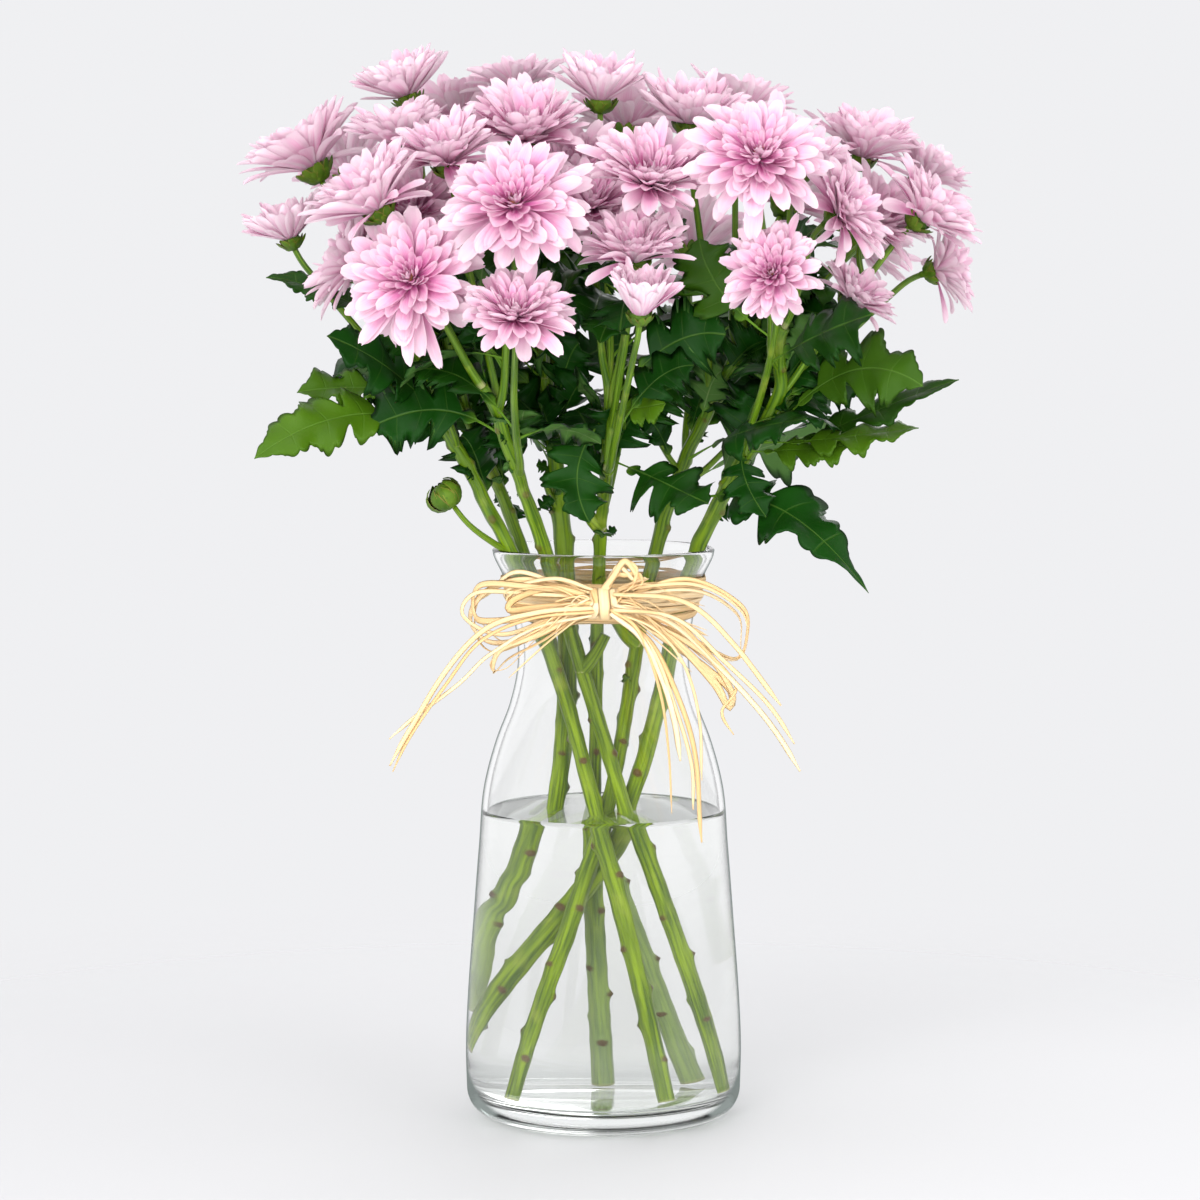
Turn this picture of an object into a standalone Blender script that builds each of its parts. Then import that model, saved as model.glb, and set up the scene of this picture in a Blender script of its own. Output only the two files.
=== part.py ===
"""Cut spray chrysanthemums in a clear glass carafe vase, with water and a raffia bow.

The origin is the middle of the vase's flat foot, +Z is up and -Y is the front, where the
bow is. Lengths are metres. Every stem, flower head, bud, leaf and run of raffia is a solid
of its own; a stalk and the flower stems that grow from it are one solid.
"""
import math

import bmesh
import bpy
import numpy as np
from mathutils import Vector

GAP = 0.0003                # space kept between pieces that touch

# The vase: a turned glass with a heavy floor, a narrow neck and a flared mouth.
VASE_HEIGHT = 0.250
FOOT_RADIUS = 0.047         # flat ring that stands on the table
HEEL = 0.013                # rounding from the foot to the wall
FLOOR = 0.011               # thickness of the glass floor
INNER_HEEL = 0.008          # rounding between the floor and the inner wall
WALL = 0.0026               # thickness of the glass wall
SEGMENTS = 36
WALL_CURVE = (              # (height, outer radius, slope)
    (0.013, 0.0600, 0.050),
    (0.030, 0.0604, 0.000),
    (0.080, 0.0575, -0.070),
    (0.146, 0.0521, -0.093),
    (0.200, 0.0373, 0.000),
    (0.250, 0.0483, 0.400),
)
BAND_HEIGHTS = (0.2200, 0.2290, 0.2375)     # where the raffia band lies on the neck
WALL_HEIGHTS = (0.030, 0.056, 0.082, 0.120, 0.146, 0.166, 0.182, 0.200) + BAND_HEIGHTS
WATER_LEVEL = 0.1347
MENISCUS = 0.0008           # rise of the water where it meets the glass

# The raffia tie round the neck.
BAND_THICK = 0.0016
KNOT_SIZE = (0.021, 0.011, 0.017)
KNOT_HEIGHT = 0.230
LOOP_WIDTH = 0.0032
TAIL_WIDTH = 0.0024

# Stalks: where each one is cut, where it passes the waist and the mouth of the vase, and
# where its flower stems part; with its radius at the cut and at the top.
STALKS = {
    1: ((0.025, -0.035, 0.0), (-0.004, -0.013), (-0.037, -0.012), (-0.086, -0.022, 0.330), 0.0036, 0.0022),
    2: ((0.047, -0.015, 0.0), (0.008, -0.011), (-0.025, -0.013), (-0.048, -0.062, 0.322), 0.0036, 0.0022),
    3: ((-0.037, -0.033, 0.0), (0.006, 0.001), (0.020, 0.014), (0.062, 0.014, 0.345), 0.0034, 0.0022),
    4: ((-0.053, -0.002, 0.030), (0.015, -0.001), (0.038, 0.001), (0.078, -0.036, 0.318), 0.0042, 0.0024),
    5: ((-0.044, 0.028, 0.042), (-0.018, 0.003), (-0.016, 0.002), (-0.030, 0.016, 0.350), 0.0052, 0.0024),
    6: ((0.000, 0.030, 0.0), (-0.004, 0.002), (-0.002, -0.006), (0.004, -0.046, 0.325), 0.0046, 0.0022),
    7: ((0.028, 0.030, 0.0), (-0.007, 0.013), (-0.034, 0.015), (-0.078, 0.022, 0.345), 0.0040, 0.0022),
}
STUB_STALK = 5              # the stalk that keeps the stump of a side shoot
STUB_HEIGHT = 0.066
STUB_REACH = (-0.0085, 0.001, 0.012)
WAIST = 0.140               # height of the second point of a stalk
MOUTH = 0.250               # height of the third one
FLOWER_STEM = 0.0013        # radius of a flower stem at the head
SPACING = 0.009             # step between the points of a stalk while it is laid out
BEND_ERROR = 0.0004         # how far a solid stem may cut the corners of its course
ROUNDS = 180                # how often the stems are pushed apart
CLEAR = 0.0011              # least space between two stems while they are laid out

# Flower heads: stalk, height where the flower stem leaves it, centre, lean from upright and
# compass direction of the lean in degrees, diameter, rise of the outer petals in degrees.
FLOWERS = {
    "01": (7, 0.318, (-0.087, 0.000, 0.452), 20, -170, 0.054, 40),
    "02": (1, 0.322, (-0.129, -0.009, 0.422), 30, 180, 0.060, 32),
    "03": (1, 0.300, (-0.136, -0.021, 0.390), 20, -165, 0.040, 42),
    "04": (7, 0.330, (-0.115, 0.060, 0.417), 40, 130, 0.044, 25),
    "05": (2, 0.290, (-0.097, -0.096, 0.403), 35, -155, 0.050, 30),
    "06": (7, 0.300, (-0.086, -0.036, 0.430), 15, -155, 0.046, 30),
    "07": (2, 0.300, (-0.066, -0.071, 0.421), 25, -115, 0.044, 25),
    "08": (5, 0.318, (-0.032, -0.050, 0.433), 20, -90, 0.051, 30),
    "09": (5, 0.335, (-0.037, 0.030, 0.452), 10, 125, 0.046, 30),
    "10": (6, 0.315, (-0.001, -0.028, 0.450), 10, -80, 0.046, 42),
    "11": (2, 0.305, (-0.036, -0.121, 0.399), 55, -95, 0.061, -5),
    "12": (2, 0.268, (-0.079, -0.110, 0.368), 70, -110, 0.058, -10),
    "13": (2, 0.278, (-0.035, -0.130, 0.355), 35, -85, 0.050, 5),
    "14": (1, 0.285, (-0.108, -0.060, 0.375), 60, 175, 0.044, 20),
    "15": (6, 0.300, (-0.005, -0.072, 0.400), 35, -90, 0.046, 10),
    "16": (6, 0.308, (0.020, -0.094, 0.413), 25, -75, 0.050, 20),
    "17": (4, 0.300, (0.063, -0.110, 0.418), 50, -90, 0.058, -5),
    "18": (3, 0.310, (0.037, -0.028, 0.440), 15, -65, 0.046, 35),
    "19": (3, 0.330, (0.060, 0.020, 0.442), 10, 0, 0.046, 30),
    "20": (3, 0.322, (0.113, 0.000, 0.426), 20, -40, 0.051, 30),
    "21": (3, 0.312, (0.142, 0.026, 0.413), 35, 10, 0.044, 30),
    "22": (4, 0.302, (0.101, -0.080, 0.396), 60, -25, 0.048, 15),
    "23": (4, 0.296, (0.140, -0.028, 0.397), 50, -15, 0.050, 30),
    "24": (4, 0.284, (0.149, 0.004, 0.371), 75, -5, 0.046, 30),
    "25": (4, 0.276, (0.068, -0.115, 0.371), 70, -105, 0.048, 5),
    "26": (4, 0.270, (0.107, -0.050, 0.361), 45, -25, 0.038, 25),
    "27": (6, 0.268, (0.015, -0.130, 0.359), 20, -80, 0.034, 60),
    "28": (4, 0.310, (0.085, -0.050, 0.419), 25, -25, 0.044, 25),
    "29": (6, 0.288, (0.012, -0.106, 0.382), 25, -95, 0.044, 30),
    "30": (3, 0.300, (0.083, 0.050, 0.403), 35, 45, 0.044, 25),
    "31": (7, 0.295, (-0.080, 0.098, 0.385), 50, 115, 0.052, 15),
    "32": (5, 0.300, (-0.020, 0.108, 0.400), 45, 95, 0.054, 15),
    "33": (3, 0.285, (0.042, 0.100, 0.380), 50, 75, 0.050, 20),
    "34": (7, 0.325, (-0.066, 0.060, 0.438), 25, 120, 0.048, 25),
    "35": (5, 0.330, (0.010, 0.062, 0.438), 20, 85, 0.050, 25),
    "36": (3, 0.296, (0.118, 0.064, 0.384), 60, 35, 0.046, 20),
}
HEAD_SHARE = 0.88           # solid radius of a head, as a share of its petals' reach
PETALS = 10                 # points round a head
SEAT = 0.16                 # radius of the flat under a head, as a share of the head's
BUD = (1, 0.262, (-0.068, -0.024, 0.274), 40, -160, 0.0135)

# Leaves: stalk, height on the stalk, middle, tip, direction the upper face looks, width.
LEAVES = {
    "01": (1, 0.296, (-0.103, -0.048, 0.311), (-0.143, -0.060, 0.295), (0.10, -0.75, 0.65), 0.040),
    "02": (1, 0.306, (-0.088, -0.058, 0.327), (-0.116, -0.070, 0.343), (0.45, -0.70, 0.55), 0.032),
    "03": (4, 0.292, (0.094, -0.045, 0.334), (0.131, -0.062, 0.324), (0.20, -0.80, 0.55), 0.036),
    "04": (4, 0.262, (0.100, -0.018, 0.302), (0.152, -0.030, 0.324), (-0.20, -0.80, 0.55), 0.038),
    "05": (4, 0.256, (0.070, -0.052, 0.272), (0.110, -0.075, 0.237), (0.55, -0.65, 0.50), 0.044),
    "06": (3, 0.270, (0.055, -0.050, 0.303), (0.083, -0.070, 0.311), (0.00, -0.75, 0.65), 0.028),
    "07": (5, 0.285, (-0.045, 0.068, 0.320), (-0.060, 0.105, 0.312), (0.00, 0.65, 0.75), 0.038),
    "08": (3, 0.276, (0.078, 0.052, 0.306), (0.114, 0.078, 0.298), (0.10, 0.65, 0.75), 0.038),
}
LEAF_THICK = 0.0012
PETIOLE = 0.0012            # half-width of a leaf's stalk
LEAF_ROWS = (               # (place along the leaf, half-width as a share, forward sweep)
    (0.00, 0.00, 0.00),
    (0.26, 0.00, 0.00),
    (0.36, 0.62, 0.08),
    (0.44, 0.28, 0.00),
    (0.56, 1.00, 0.09),
    (0.66, 0.40, 0.00),
    (0.77, 0.72, 0.07),
    (0.86, 0.26, 0.00),
    (1.00, 0.02, 0.00),
)

# Free ends and loops of the raffia: points chosen by hand along each run.
TAILS = {
    "left": ((-0.004, -0.0585, 0.2285), (-0.028, -0.063, 0.227), (-0.050, -0.062, 0.220),
             (-0.069, -0.061, 0.198), (-0.082, -0.060, 0.178), (-0.090, -0.060, 0.161)),
    "right": ((0.004, -0.0585, 0.2300), (0.028, -0.064, 0.223), (0.049, -0.065, 0.204),
              (0.068, -0.066, 0.183), (0.083, -0.066, 0.160)),
    "right_short": ((0.004, -0.0585, 0.2345), (0.034, -0.068, 0.232), (0.055, -0.070, 0.214),
                    (0.074, -0.072, 0.189)),
    "front": ((0.0035, -0.0585, 0.2255), (0.020, -0.062, 0.214), (0.032, -0.061, 0.190),
              (0.039, -0.060, 0.163), (0.042, -0.058, 0.129)),
}
LOOPS = {
    "left": ((-0.0080, -0.053, 0.2345), (-0.034, -0.050, 0.240), (-0.050, -0.040, 0.234),
             (-0.054, -0.033, 0.221), (-0.046, -0.038, 0.210), (-0.027, -0.049, 0.218),
             (-0.0080, -0.053, 0.2265)),
    "right": ((0.0080, -0.053, 0.2345), (0.036, -0.051, 0.238), (0.056, -0.042, 0.229),
              (0.062, -0.036, 0.215), (0.056, -0.038, 0.206), (0.034, -0.049, 0.217),
              (0.0080, -0.053, 0.2265)),
}


# ---------------------------------------------------------------- materials and meshes
def finish(name, colour, roughness, clear=0.0):
    """A Principled material; clear is how much light passes through."""
    material = bpy.data.materials.new(name)
    material.use_nodes = True
    shader = material.node_tree.nodes["Principled BSDF"]
    shader.inputs["Base Color"].default_value = (*colour, 1.0)
    shader.inputs["Roughness"].default_value = roughness
    shader.inputs["Transmission Weight"].default_value = clear
    return material


def piece(name, mesh, material):
    """A named object for a mesh, shaded smooth except at its sharp edges."""
    mesh.materials.clear()
    mesh.materials.append(material)
    mesh.shade_smooth()
    mesh.set_sharp_from_angle(angle=math.radians(40))
    obj = bpy.data.objects.new(name, mesh)
    bpy.context.collection.objects.link(obj)
    return obj


def mesh_from(bm, name):
    """Close a bmesh into a mesh whose faces point out."""
    bmesh.ops.recalc_face_normals(bm, faces=bm.faces)
    mesh = bpy.data.meshes.new(name)
    bm.to_mesh(mesh)
    bm.free()
    return mesh


def turned(name, profile, closed=False):
    """Spin (radius, height) points round the Z axis."""
    bm = bmesh.new()
    verts = [bm.verts.new((radius, 0.0, height)) for radius, height in profile]
    pairs = list(zip(verts, verts[1:]))
    if closed:
        pairs.append((verts[-1], verts[0]))
    edges = [bm.edges.new(pair) for pair in pairs]
    bmesh.ops.spin(bm, geom=verts + edges, cent=(0, 0, 0), axis=(0, 0, 1),
                   angle=2 * math.pi, steps=SEGMENTS, use_merge=True)
    bmesh.ops.remove_doubles(bm, verts=bm.verts, dist=0.000001)
    return mesh_from(bm, name)


def lofted(name, rings, peak=None):
    """Join rings of points into a closed skin; the last one closes on the peak, if given."""
    bm = bmesh.new()
    loops = [[bm.verts.new(point) for point in ring] for ring in rings]
    bm.faces.new(loops[0])
    for low, high in zip(loops, loops[1:]):
        for here in range(len(low)):
            after = (here + 1) % len(low)
            bm.faces.new((low[here], low[after], high[after], high[here]))
    if peak is None:
        bm.faces.new(loops[-1])
    else:
        top = bm.verts.new(peak)
        for here, vert in enumerate(loops[-1]):
            bm.faces.new((vert, loops[-1][(here + 1) % len(loops[-1])], top))
    return mesh_from(bm, name)


def evaluated(obj):
    """The mesh of an object with its modifiers or its curve bevel applied."""
    depsgraph = bpy.context.evaluated_depsgraph_get()
    return bpy.data.meshes.new_from_object(obj.evaluated_get(depsgraph))


def rod(name, points, radii, resolution=2):
    """A round rod along the points, closed at both ends."""
    curve = bpy.data.curves.new(name, "CURVE")
    curve.dimensions = "3D"
    curve.bevel_depth = 1.0
    curve.bevel_resolution = resolution
    curve.use_fill_caps = True
    spline = curve.splines.new("POLY")
    spline.points.add(len(points) - 1)
    for spot, place, radius in zip(spline.points, points, radii):
        spot.co = (*place, 1.0)
        spot.radius = radius
    obj = bpy.data.objects.new(name, curve)
    bpy.context.collection.objects.link(obj)
    return obj


def combined(base, tools, operation):
    """The mesh of base after a Boolean with each tool; all the operands are used up."""
    for tool in tools:
        cut = base.modifiers.new(tool.name, "BOOLEAN")
        cut.operation = operation
        cut.solver = "EXACT"
        cut.object = tool
    mesh = evaluated(base)
    for obj in [base, *tools]:
        bpy.data.objects.remove(obj)
    return mesh


def solid_rod(name, points, radii, resolution=2):
    """A rod as a mesh object, ready for a Boolean."""
    curve_object = rod(name, points, radii, resolution)
    mesh = evaluated(curve_object)
    bpy.data.objects.remove(curve_object)
    obj = bpy.data.objects.new(name, mesh)
    bpy.context.collection.objects.link(obj)
    return obj


# ---------------------------------------------------------------- smooth curves
def hermite(stops, at):
    """Value at a place of the smooth curve through (place, value, slope) stops."""
    for (low, value, slope), (high, next_value, next_slope) in zip(stops, stops[1:]):
        if at <= high:
            break
    span = high - low
    t = (at - low) / span
    return ((2 * t**3 - 3 * t**2 + 1) * value + (t**3 - 2 * t**2 + t) * span * slope
            + (3 * t**2 - 2 * t**3) * next_value + (t**3 - t**2) * span * next_slope)


def smooth_route(points, count):
    """Evenly spaced points on the Catmull-Rom curve through the given ones."""
    points = np.array(points, dtype=float)
    ends = np.vstack([2 * points[0] - points[1], points, 2 * points[-1] - points[-2]])
    fine = []
    for before, start, stop, after in zip(ends, ends[1:], ends[2:], ends[3:]):
        for t in np.linspace(0.0, 1.0, 24, endpoint=False):
            fine.append(0.5 * (2 * start + (stop - before) * t
                               + (2 * before - 5 * start + 4 * stop - after) * t**2
                               + (3 * start - before - 3 * stop + after) * t**3))
    fine.append(points[-1])
    fine = np.array(fine)
    travel = np.concatenate([[0], np.cumsum(np.linalg.norm(np.diff(fine, axis=0), axis=1))])
    steps = np.linspace(0, travel[-1], count)
    return np.column_stack([np.interp(steps, travel, fine[:, axis]) for axis in range(3)])


def sparse(points, radii):
    """The fewest of the points that keep a run within BEND_ERROR of its course."""
    kept = [0]
    last = len(points) - 1
    while kept[-1] < last:
        start = kept[-1]
        reach = start + 1
        while reach < last and strays(points[start:reach + 2], radii[start:reach + 2]) < BEND_ERROR:
            reach += 1
        kept.append(reach)
    return points[kept], np.asarray(radii)[kept]


def strays(points, radii):
    """How far the middle points and radii are from the straight between the ends."""
    share = np.linspace(0, 1, len(points))[:, None]
    straight = points[0] * (1 - share) + points[-1] * share
    even = radii[0] + (radii[-1] - radii[0]) * share[:, 0]
    return max(np.linalg.norm(points - straight, axis=1).max(), np.abs(radii - even).max())


def bezier(start, lead, arrive, stop, count):
    """Points of the cubic curve from start to stop with two guide points between."""
    t = np.linspace(0, 1, count)[:, None]
    return ((1 - t)**3 * start + 3 * (1 - t)**2 * t * lead
            + 3 * (1 - t) * t**2 * arrive + t**3 * stop)


def unit(vector):
    return np.array(vector, dtype=float) / np.linalg.norm(vector)


def leaning(lean, compass):
    """Unit vector that leans from upright towards a compass direction, in degrees."""
    lean, compass = math.radians(lean), math.radians(compass)
    return np.array([math.sin(lean) * math.cos(compass), math.sin(lean) * math.sin(compass),
                     math.cos(lean)])


# ---------------------------------------------------------------- vase and water
def outer_radius(height):
    return hermite(WALL_CURVE, min(max(height, HEEL), VASE_HEIGHT))


def inner_radius(height):
    """Radius of the space inside the vase, with the rounding above the floor."""
    radius = outer_radius(height) - WALL
    rise = height - FLOOR
    if rise < INNER_HEEL:
        drop = INNER_HEEL - max(rise, 0.0)
        radius -= INNER_HEEL - math.sqrt(max(INNER_HEEL**2 - drop**2, 0.0))
    return radius


def quarter(centre_radius, centre_height, size, start, stop, steps):
    """Points of an arc in the profile, with angles in degrees from straight out."""
    angles = [math.radians(start + (stop - start) * k / steps) for k in range(steps + 1)]
    return [(centre_radius + size * math.cos(a), centre_height + size * math.sin(a)) for a in angles]


def inner_profile(shrink, top):
    """Profile of the inside from the middle of the floor up to a height."""
    heel_radius = outer_radius(FLOOR + INNER_HEEL) - WALL - INNER_HEEL
    profile = [(0.0, FLOOR + shrink)]
    profile += quarter(heel_radius, FLOOR + INNER_HEEL, INNER_HEEL - shrink, -90, 0, 3)
    profile += [(inner_radius(height) - shrink, height) for height in WALL_HEIGHTS if height < top]
    return profile


def make_vase(material):
    lip = WALL / 2
    rim_radius = outer_radius(VASE_HEIGHT) - lip
    profile = [(0.0, 0.0)]
    profile += quarter(FOOT_RADIUS, HEEL, HEEL, -90, 0, 4)
    profile += [(outer_radius(height), height) for height in WALL_HEIGHTS]
    profile += quarter(rim_radius, VASE_HEIGHT - lip, lip, 0, 180, 3)
    profile += reversed(inner_profile(0.0, VASE_HEIGHT))
    piece("glass_vase", turned("glass_vase", profile), material)


def make_water(stalks, material):
    """The water, with room left for every stalk that stands in it."""
    profile = inner_profile(GAP, WATER_LEVEL)
    edge = inner_radius(WATER_LEVEL) - GAP
    profile += [(edge, WATER_LEVEL + MENISCUS), (edge - 3 * MENISCUS, WATER_LEVEL), (0.0, WATER_LEVEL)]
    water = piece("water_body", turned("water", profile), material)
    cutters = []
    for number, (points, radii) in stalks.items():
        foot = unit(points[0] - points[1])
        reach = 0.008 if STALKS[number][0][2] == 0.0 else GAP * 1.2
        longer = np.vstack([points[0] + foot * reach, points])
        wider = np.concatenate([[radii[0]], radii]) + 1.2 * GAP
        cutters.append(solid_rod("room_%d" % number, longer, wider))
        if number == STUB_STALK:
            cutters.append(side_stub(points, radii, 1.2 * GAP))
    piece("water", combined(water, cutters, "DIFFERENCE"), material)


# ---------------------------------------------------------------- laying out the stems
def nearest(a, b, c, d):
    """Vectors between the nearest points of segments a-b and c-d, with the two places."""
    u, v, w = b - a, d - c, a - c
    uu, uv, vv = (u * u).sum(-1), (u * v).sum(-1), (v * v).sum(-1)
    uw, vw = (u * w).sum(-1), (v * w).sum(-1)
    span = np.maximum(uu * vv - uv * uv, 1e-18)
    s = np.clip((uv * vw - vv * uw) / span, 0, 1)
    t = np.clip((uv * s + vw) / vv, 0, 1)
    s = np.clip((uv * t - uw) / uu, 0, 1)
    return w + s[..., None] * u - t[..., None] * v, s, t


def push_apart(runs, heads, rounds):
    """Move the free points of the runs until no two runs and no head are too close.

    A run holds points, radii, its family and the points that are held still. Runs of one
    family may touch, because they grow into each other.
    """
    starts = np.concatenate([[k + 0 * i for i in range(len(run["points"]) - 1)]
                             for k, run in enumerate(runs)])
    family = np.array([runs[k]["family"] for k in starts])
    index = np.concatenate([np.arange(len(run["points"]) - 1) for run in runs])
    other = family[:, None] != family[None, :]
    for _ in range(rounds):
        a = np.concatenate([run["points"][:-1] for run in runs])
        b = np.concatenate([run["points"][1:] for run in runs])
        r = np.concatenate([(run["radii"][:-1] + run["radii"][1:]) / 2 for run in runs])
        gap, s, _ = nearest(a[:, None], b[:, None], a[None], b[None])
        distance = np.linalg.norm(gap, axis=-1)
        short = r[:, None] + r[None, :] + CLEAR - distance
        push = np.where(other & (short > 0), short, 0.0)
        move = gap / np.maximum(distance, 1e-6)[..., None] * push[..., None]
        at_start = (move * (1 - s)[..., None]).sum(1)
        at_end = (move * s[..., None]).sum(1)
        shift = [np.zeros_like(run["points"]) for run in runs]
        for row, (k, i) in enumerate(zip(starts, index)):
            shift[k][i] += at_start[row]
            shift[k][i + 1] += at_end[row]
        for run, moved in zip(runs, shift):
            points = run["points"]
            smoothed = points.copy()
            smoothed[1:-1] = 0.9 * points[1:-1] + 0.05 * (points[:-2] + points[2:])
            smoothed = smoothed + 0.45 * moved
            for centre, facing, radius, owner in heads:
                if owner != run["name"]:
                    smoothed = clear_of_head(smoothed, run["radii"], centre, facing, radius)
            smoothed = kept_in_vase(smoothed, run["radii"])
            run["points"] = np.where(run["held"][:, None], points, smoothed)


def clear_of_head(points, radii, centre, facing, radius):
    """Move points out of the flattened ball that a flower head fills."""
    offset = points - centre
    along = offset @ facing
    across = offset - along[:, None] * facing
    wide = radius + radii + CLEAR
    tall = 0.62 * radius + radii + CLEAR
    share = np.sqrt((np.linalg.norm(across, axis=1) / wide)**2 + (along / tall)**2)
    grow = np.where(share < 1, 1 / np.maximum(share, 0.2), 1.0)
    return centre + offset * (1 + 0.5 * (grow - 1))[:, None]


def kept_in_vase(points, radii):
    """Keep the points inside the glass, a little off its facets."""
    kept = points.copy()
    for k, (x, y, z) in enumerate(points):
        if z < VASE_HEIGHT + 0.004:
            room = inner_radius(min(z, VASE_HEIGHT)) * math.cos(math.pi / SEGMENTS)
            room -= radii[k] + 2 * GAP
            reach = math.hypot(x, y)
            if reach > room:
                kept[k, 0] *= room / reach
                kept[k, 1] *= room / reach
    return kept


def stalk_runs():
    """The seven stalks as smooth runs, pushed apart where they cross."""
    runs = []
    for number, (foot, waist, mouth, crown, thick, thin) in STALKS.items():
        foot = np.array(foot)
        if foot[2] == 0.0:
            lean = unit(np.array((*waist, WAIST)) - foot)
            foot[2] = FLOOR + GAP * 1.1 + thick * math.hypot(lean[0], lean[1])
        route = [foot, (*waist, WAIST), (*mouth, MOUTH), crown]
        length = sum(np.linalg.norm(np.subtract(p, q)) for p, q in zip(route, route[1:]))
        points = smooth_route(route, round(length / SPACING))
        heights = (points[:, 2] - foot[2]) / (crown[2] - foot[2])
        radii = thick + (thin - thick) * heights**1.5
        held = np.zeros(len(points), dtype=bool)
        held[[0, 1, -1]] = True
        runs.append({"name": number, "family": number, "points": kept_in_vase(points, radii),
                     "radii": radii, "held": held})
    push_apart(runs, [], ROUNDS)
    return runs


def at_height(points, radii, height):
    """Place, direction and radius of a run where it passes a height."""
    k = int(np.searchsorted(points[:, 2], height))
    k = min(max(k, 1), len(points) - 1)
    t = (height - points[k - 1, 2]) / (points[k, 2] - points[k - 1, 2])
    t = min(max(t, 0.0), 1.0)
    place = points[k - 1] * (1 - t) + points[k] * t
    return place, unit(points[k] - points[k - 1]), radii[k - 1] * (1 - t) + radii[k] * t


def flower_runs(stalks):
    """A flower stem from its stalk to the seat of every head, and one for the bud."""
    runs = []
    for name, (number, height, centre, lean, compass, diameter, _) in FLOWERS.items():
        facing = leaning(lean, compass)
        seat = np.array(centre) - facing * (0.55 * HEAD_SHARE * diameter / 2 + GAP)
        runs.append(flower_run(name, number, stalks[number], height, seat, facing, FLOWER_STEM))
    number, height, centre, lean, compass, diameter = BUD
    facing = leaning(lean, compass)
    seat = np.array(centre) - facing * (diameter * 0.46 + GAP)
    runs.append(flower_run("bud", number, stalks[number], height, seat, facing, FLOWER_STEM * 0.8))
    return runs


def flower_run(name, number, stalk, height, seat, facing, radius):
    """One smooth run that leaves the stalk low and meets the head square."""
    place, along, thickness = at_height(stalk["points"], stalk["radii"], height)
    reach = np.linalg.norm(seat - place)
    count = max(round(reach / SPACING), 5)
    points = bezier(place, place + along * reach * 0.35, seat - facing * reach * 0.30, seat, count)
    held = np.zeros(len(points), dtype=bool)
    held[[0, -2, -1]] = True
    points[-2] = seat - facing * 0.005
    base = min(thickness * 0.8, radius * 1.5)
    radii = np.linspace(base, radius, len(points))
    return {"name": name, "family": number, "points": points, "radii": radii, "held": held}


def make_stems(material):
    """Every stalk joined with its flower stems; returns the stalks' runs."""
    stalks = {run["name"]: run for run in stalk_runs()}
    flowers = flower_runs(stalks)
    heads = []
    for name, (_, _, centre, lean, compass, diameter, _) in FLOWERS.items():
        heads.append((np.array(centre), leaning(lean, compass), HEAD_SHARE * diameter / 2, name))
    for run in stalks.values():
        run["held"][:] = True
    push_apart(list(stalks.values()) + flowers, heads, ROUNDS)
    for run in list(stalks.values()) + flowers:
        run["points"], run["radii"] = sparse(run["points"], run["radii"])
    for number, stalk in stalks.items():
        body = solid_rod("stalk_%d" % number, stalk["points"], stalk["radii"])
        parts = []
        for run in flowers:
            if run["family"] == number:
                parts.append(solid_rod("part_" + run["name"], run["points"], run["radii"], 1))
        if number == STUB_STALK:
            parts.append(side_stub(stalk["points"], stalk["radii"], 0.0))
        name = "stem_%d" % number
        piece(name, combined(body, parts, "UNION"), material)
    return stalks


def side_stub(points, radii, swell):
    """The short stump of a side shoot that was cut off near the foot, swollen by a little."""
    place, _, radius = at_height(points, radii, STUB_HEIGHT)
    tip = place + np.array(STUB_REACH)
    tip += unit(STUB_REACH) * swell
    return solid_rod("stub", [place, tip], [radius * 0.8 + swell, radius * 0.45 + swell])


# ---------------------------------------------------------------- flower heads
def axes_for(facing):
    """Two unit vectors across the facing one."""
    side = unit(np.cross(facing, (0.0, 1.0, 0.0) if abs(facing[1]) < 0.9 else (1.0, 0.0, 0.0)))
    return side, np.cross(facing, side)


def make_head(name, centre, facing, diameter, cup, material):
    """A double flower as a scalloped cushion on a flat seat."""
    reach = HEAD_SHARE * diameter / 2
    tip = 0.55 * math.sin(math.radians(cup)) - 0.10
    middle = max(0.22, tip + 0.12)
    levels = (              # (radius at a petal, radius between petals, height)
        (SEAT, SEAT, -0.55),
        (0.31, 0.31, -0.36),
        (1.00, 0.80, tip),
        (0.60, 0.74, middle),
        (0.44, 0.36, middle + 0.15),
    )
    side, back = axes_for(facing)
    rings = []
    for petal_radius, notch_radius, height in levels:
        ring = []
        for k in range(2 * PETALS):
            angle = math.pi * k / PETALS
            radius = reach * (notch_radius if k % 2 else petal_radius)
            ring.append(centre + radius * (math.cos(angle) * side + math.sin(angle) * back)
                        + reach * height * facing)
        rings.append(ring)
    peak = centre + facing * reach * (middle + 0.10)
    piece(name, lofted(name, rings, peak), material)


def make_bud(material):
    """The closed bud: a small ball that is flat where it sits on its stem."""
    _, _, centre, lean, compass, diameter = BUD
    facing = leaning(lean, compass)
    side, back = axes_for(facing)
    rings = []
    for height, radius in ((-0.46, 0.14), (-0.34, 0.38), (0.0, 0.50), (0.30, 0.36)):
        rings.append([np.array(centre) + diameter * (height * facing + radius
                      * (math.cos(a) * side + math.sin(a) * back))
                      for a in np.linspace(0, 2 * math.pi, 12, endpoint=False)])
    peak = np.array(centre) + facing * diameter * 0.44
    piece("flower_bud", lofted("flower_bud", rings, peak), material)


# ---------------------------------------------------------------- leaves
def leaf_skin(name, rings):
    """Join rings of edge, top, edge, underside with triangles cut the same way on both faces."""
    bm = bmesh.new()
    loops = [[bm.verts.new(point) for point in ring] for ring in rings]
    bm.faces.new(loops[0])
    bm.faces.new(loops[-1])
    for low, high in zip(loops, loops[1:]):
        for edge in (0, 2):
            for middle in (1, 3):
                bm.faces.new((low[middle], low[edge], high[edge]))
                bm.faces.new((low[middle], high[edge], high[middle]))
    return mesh_from(bm, name)


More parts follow.
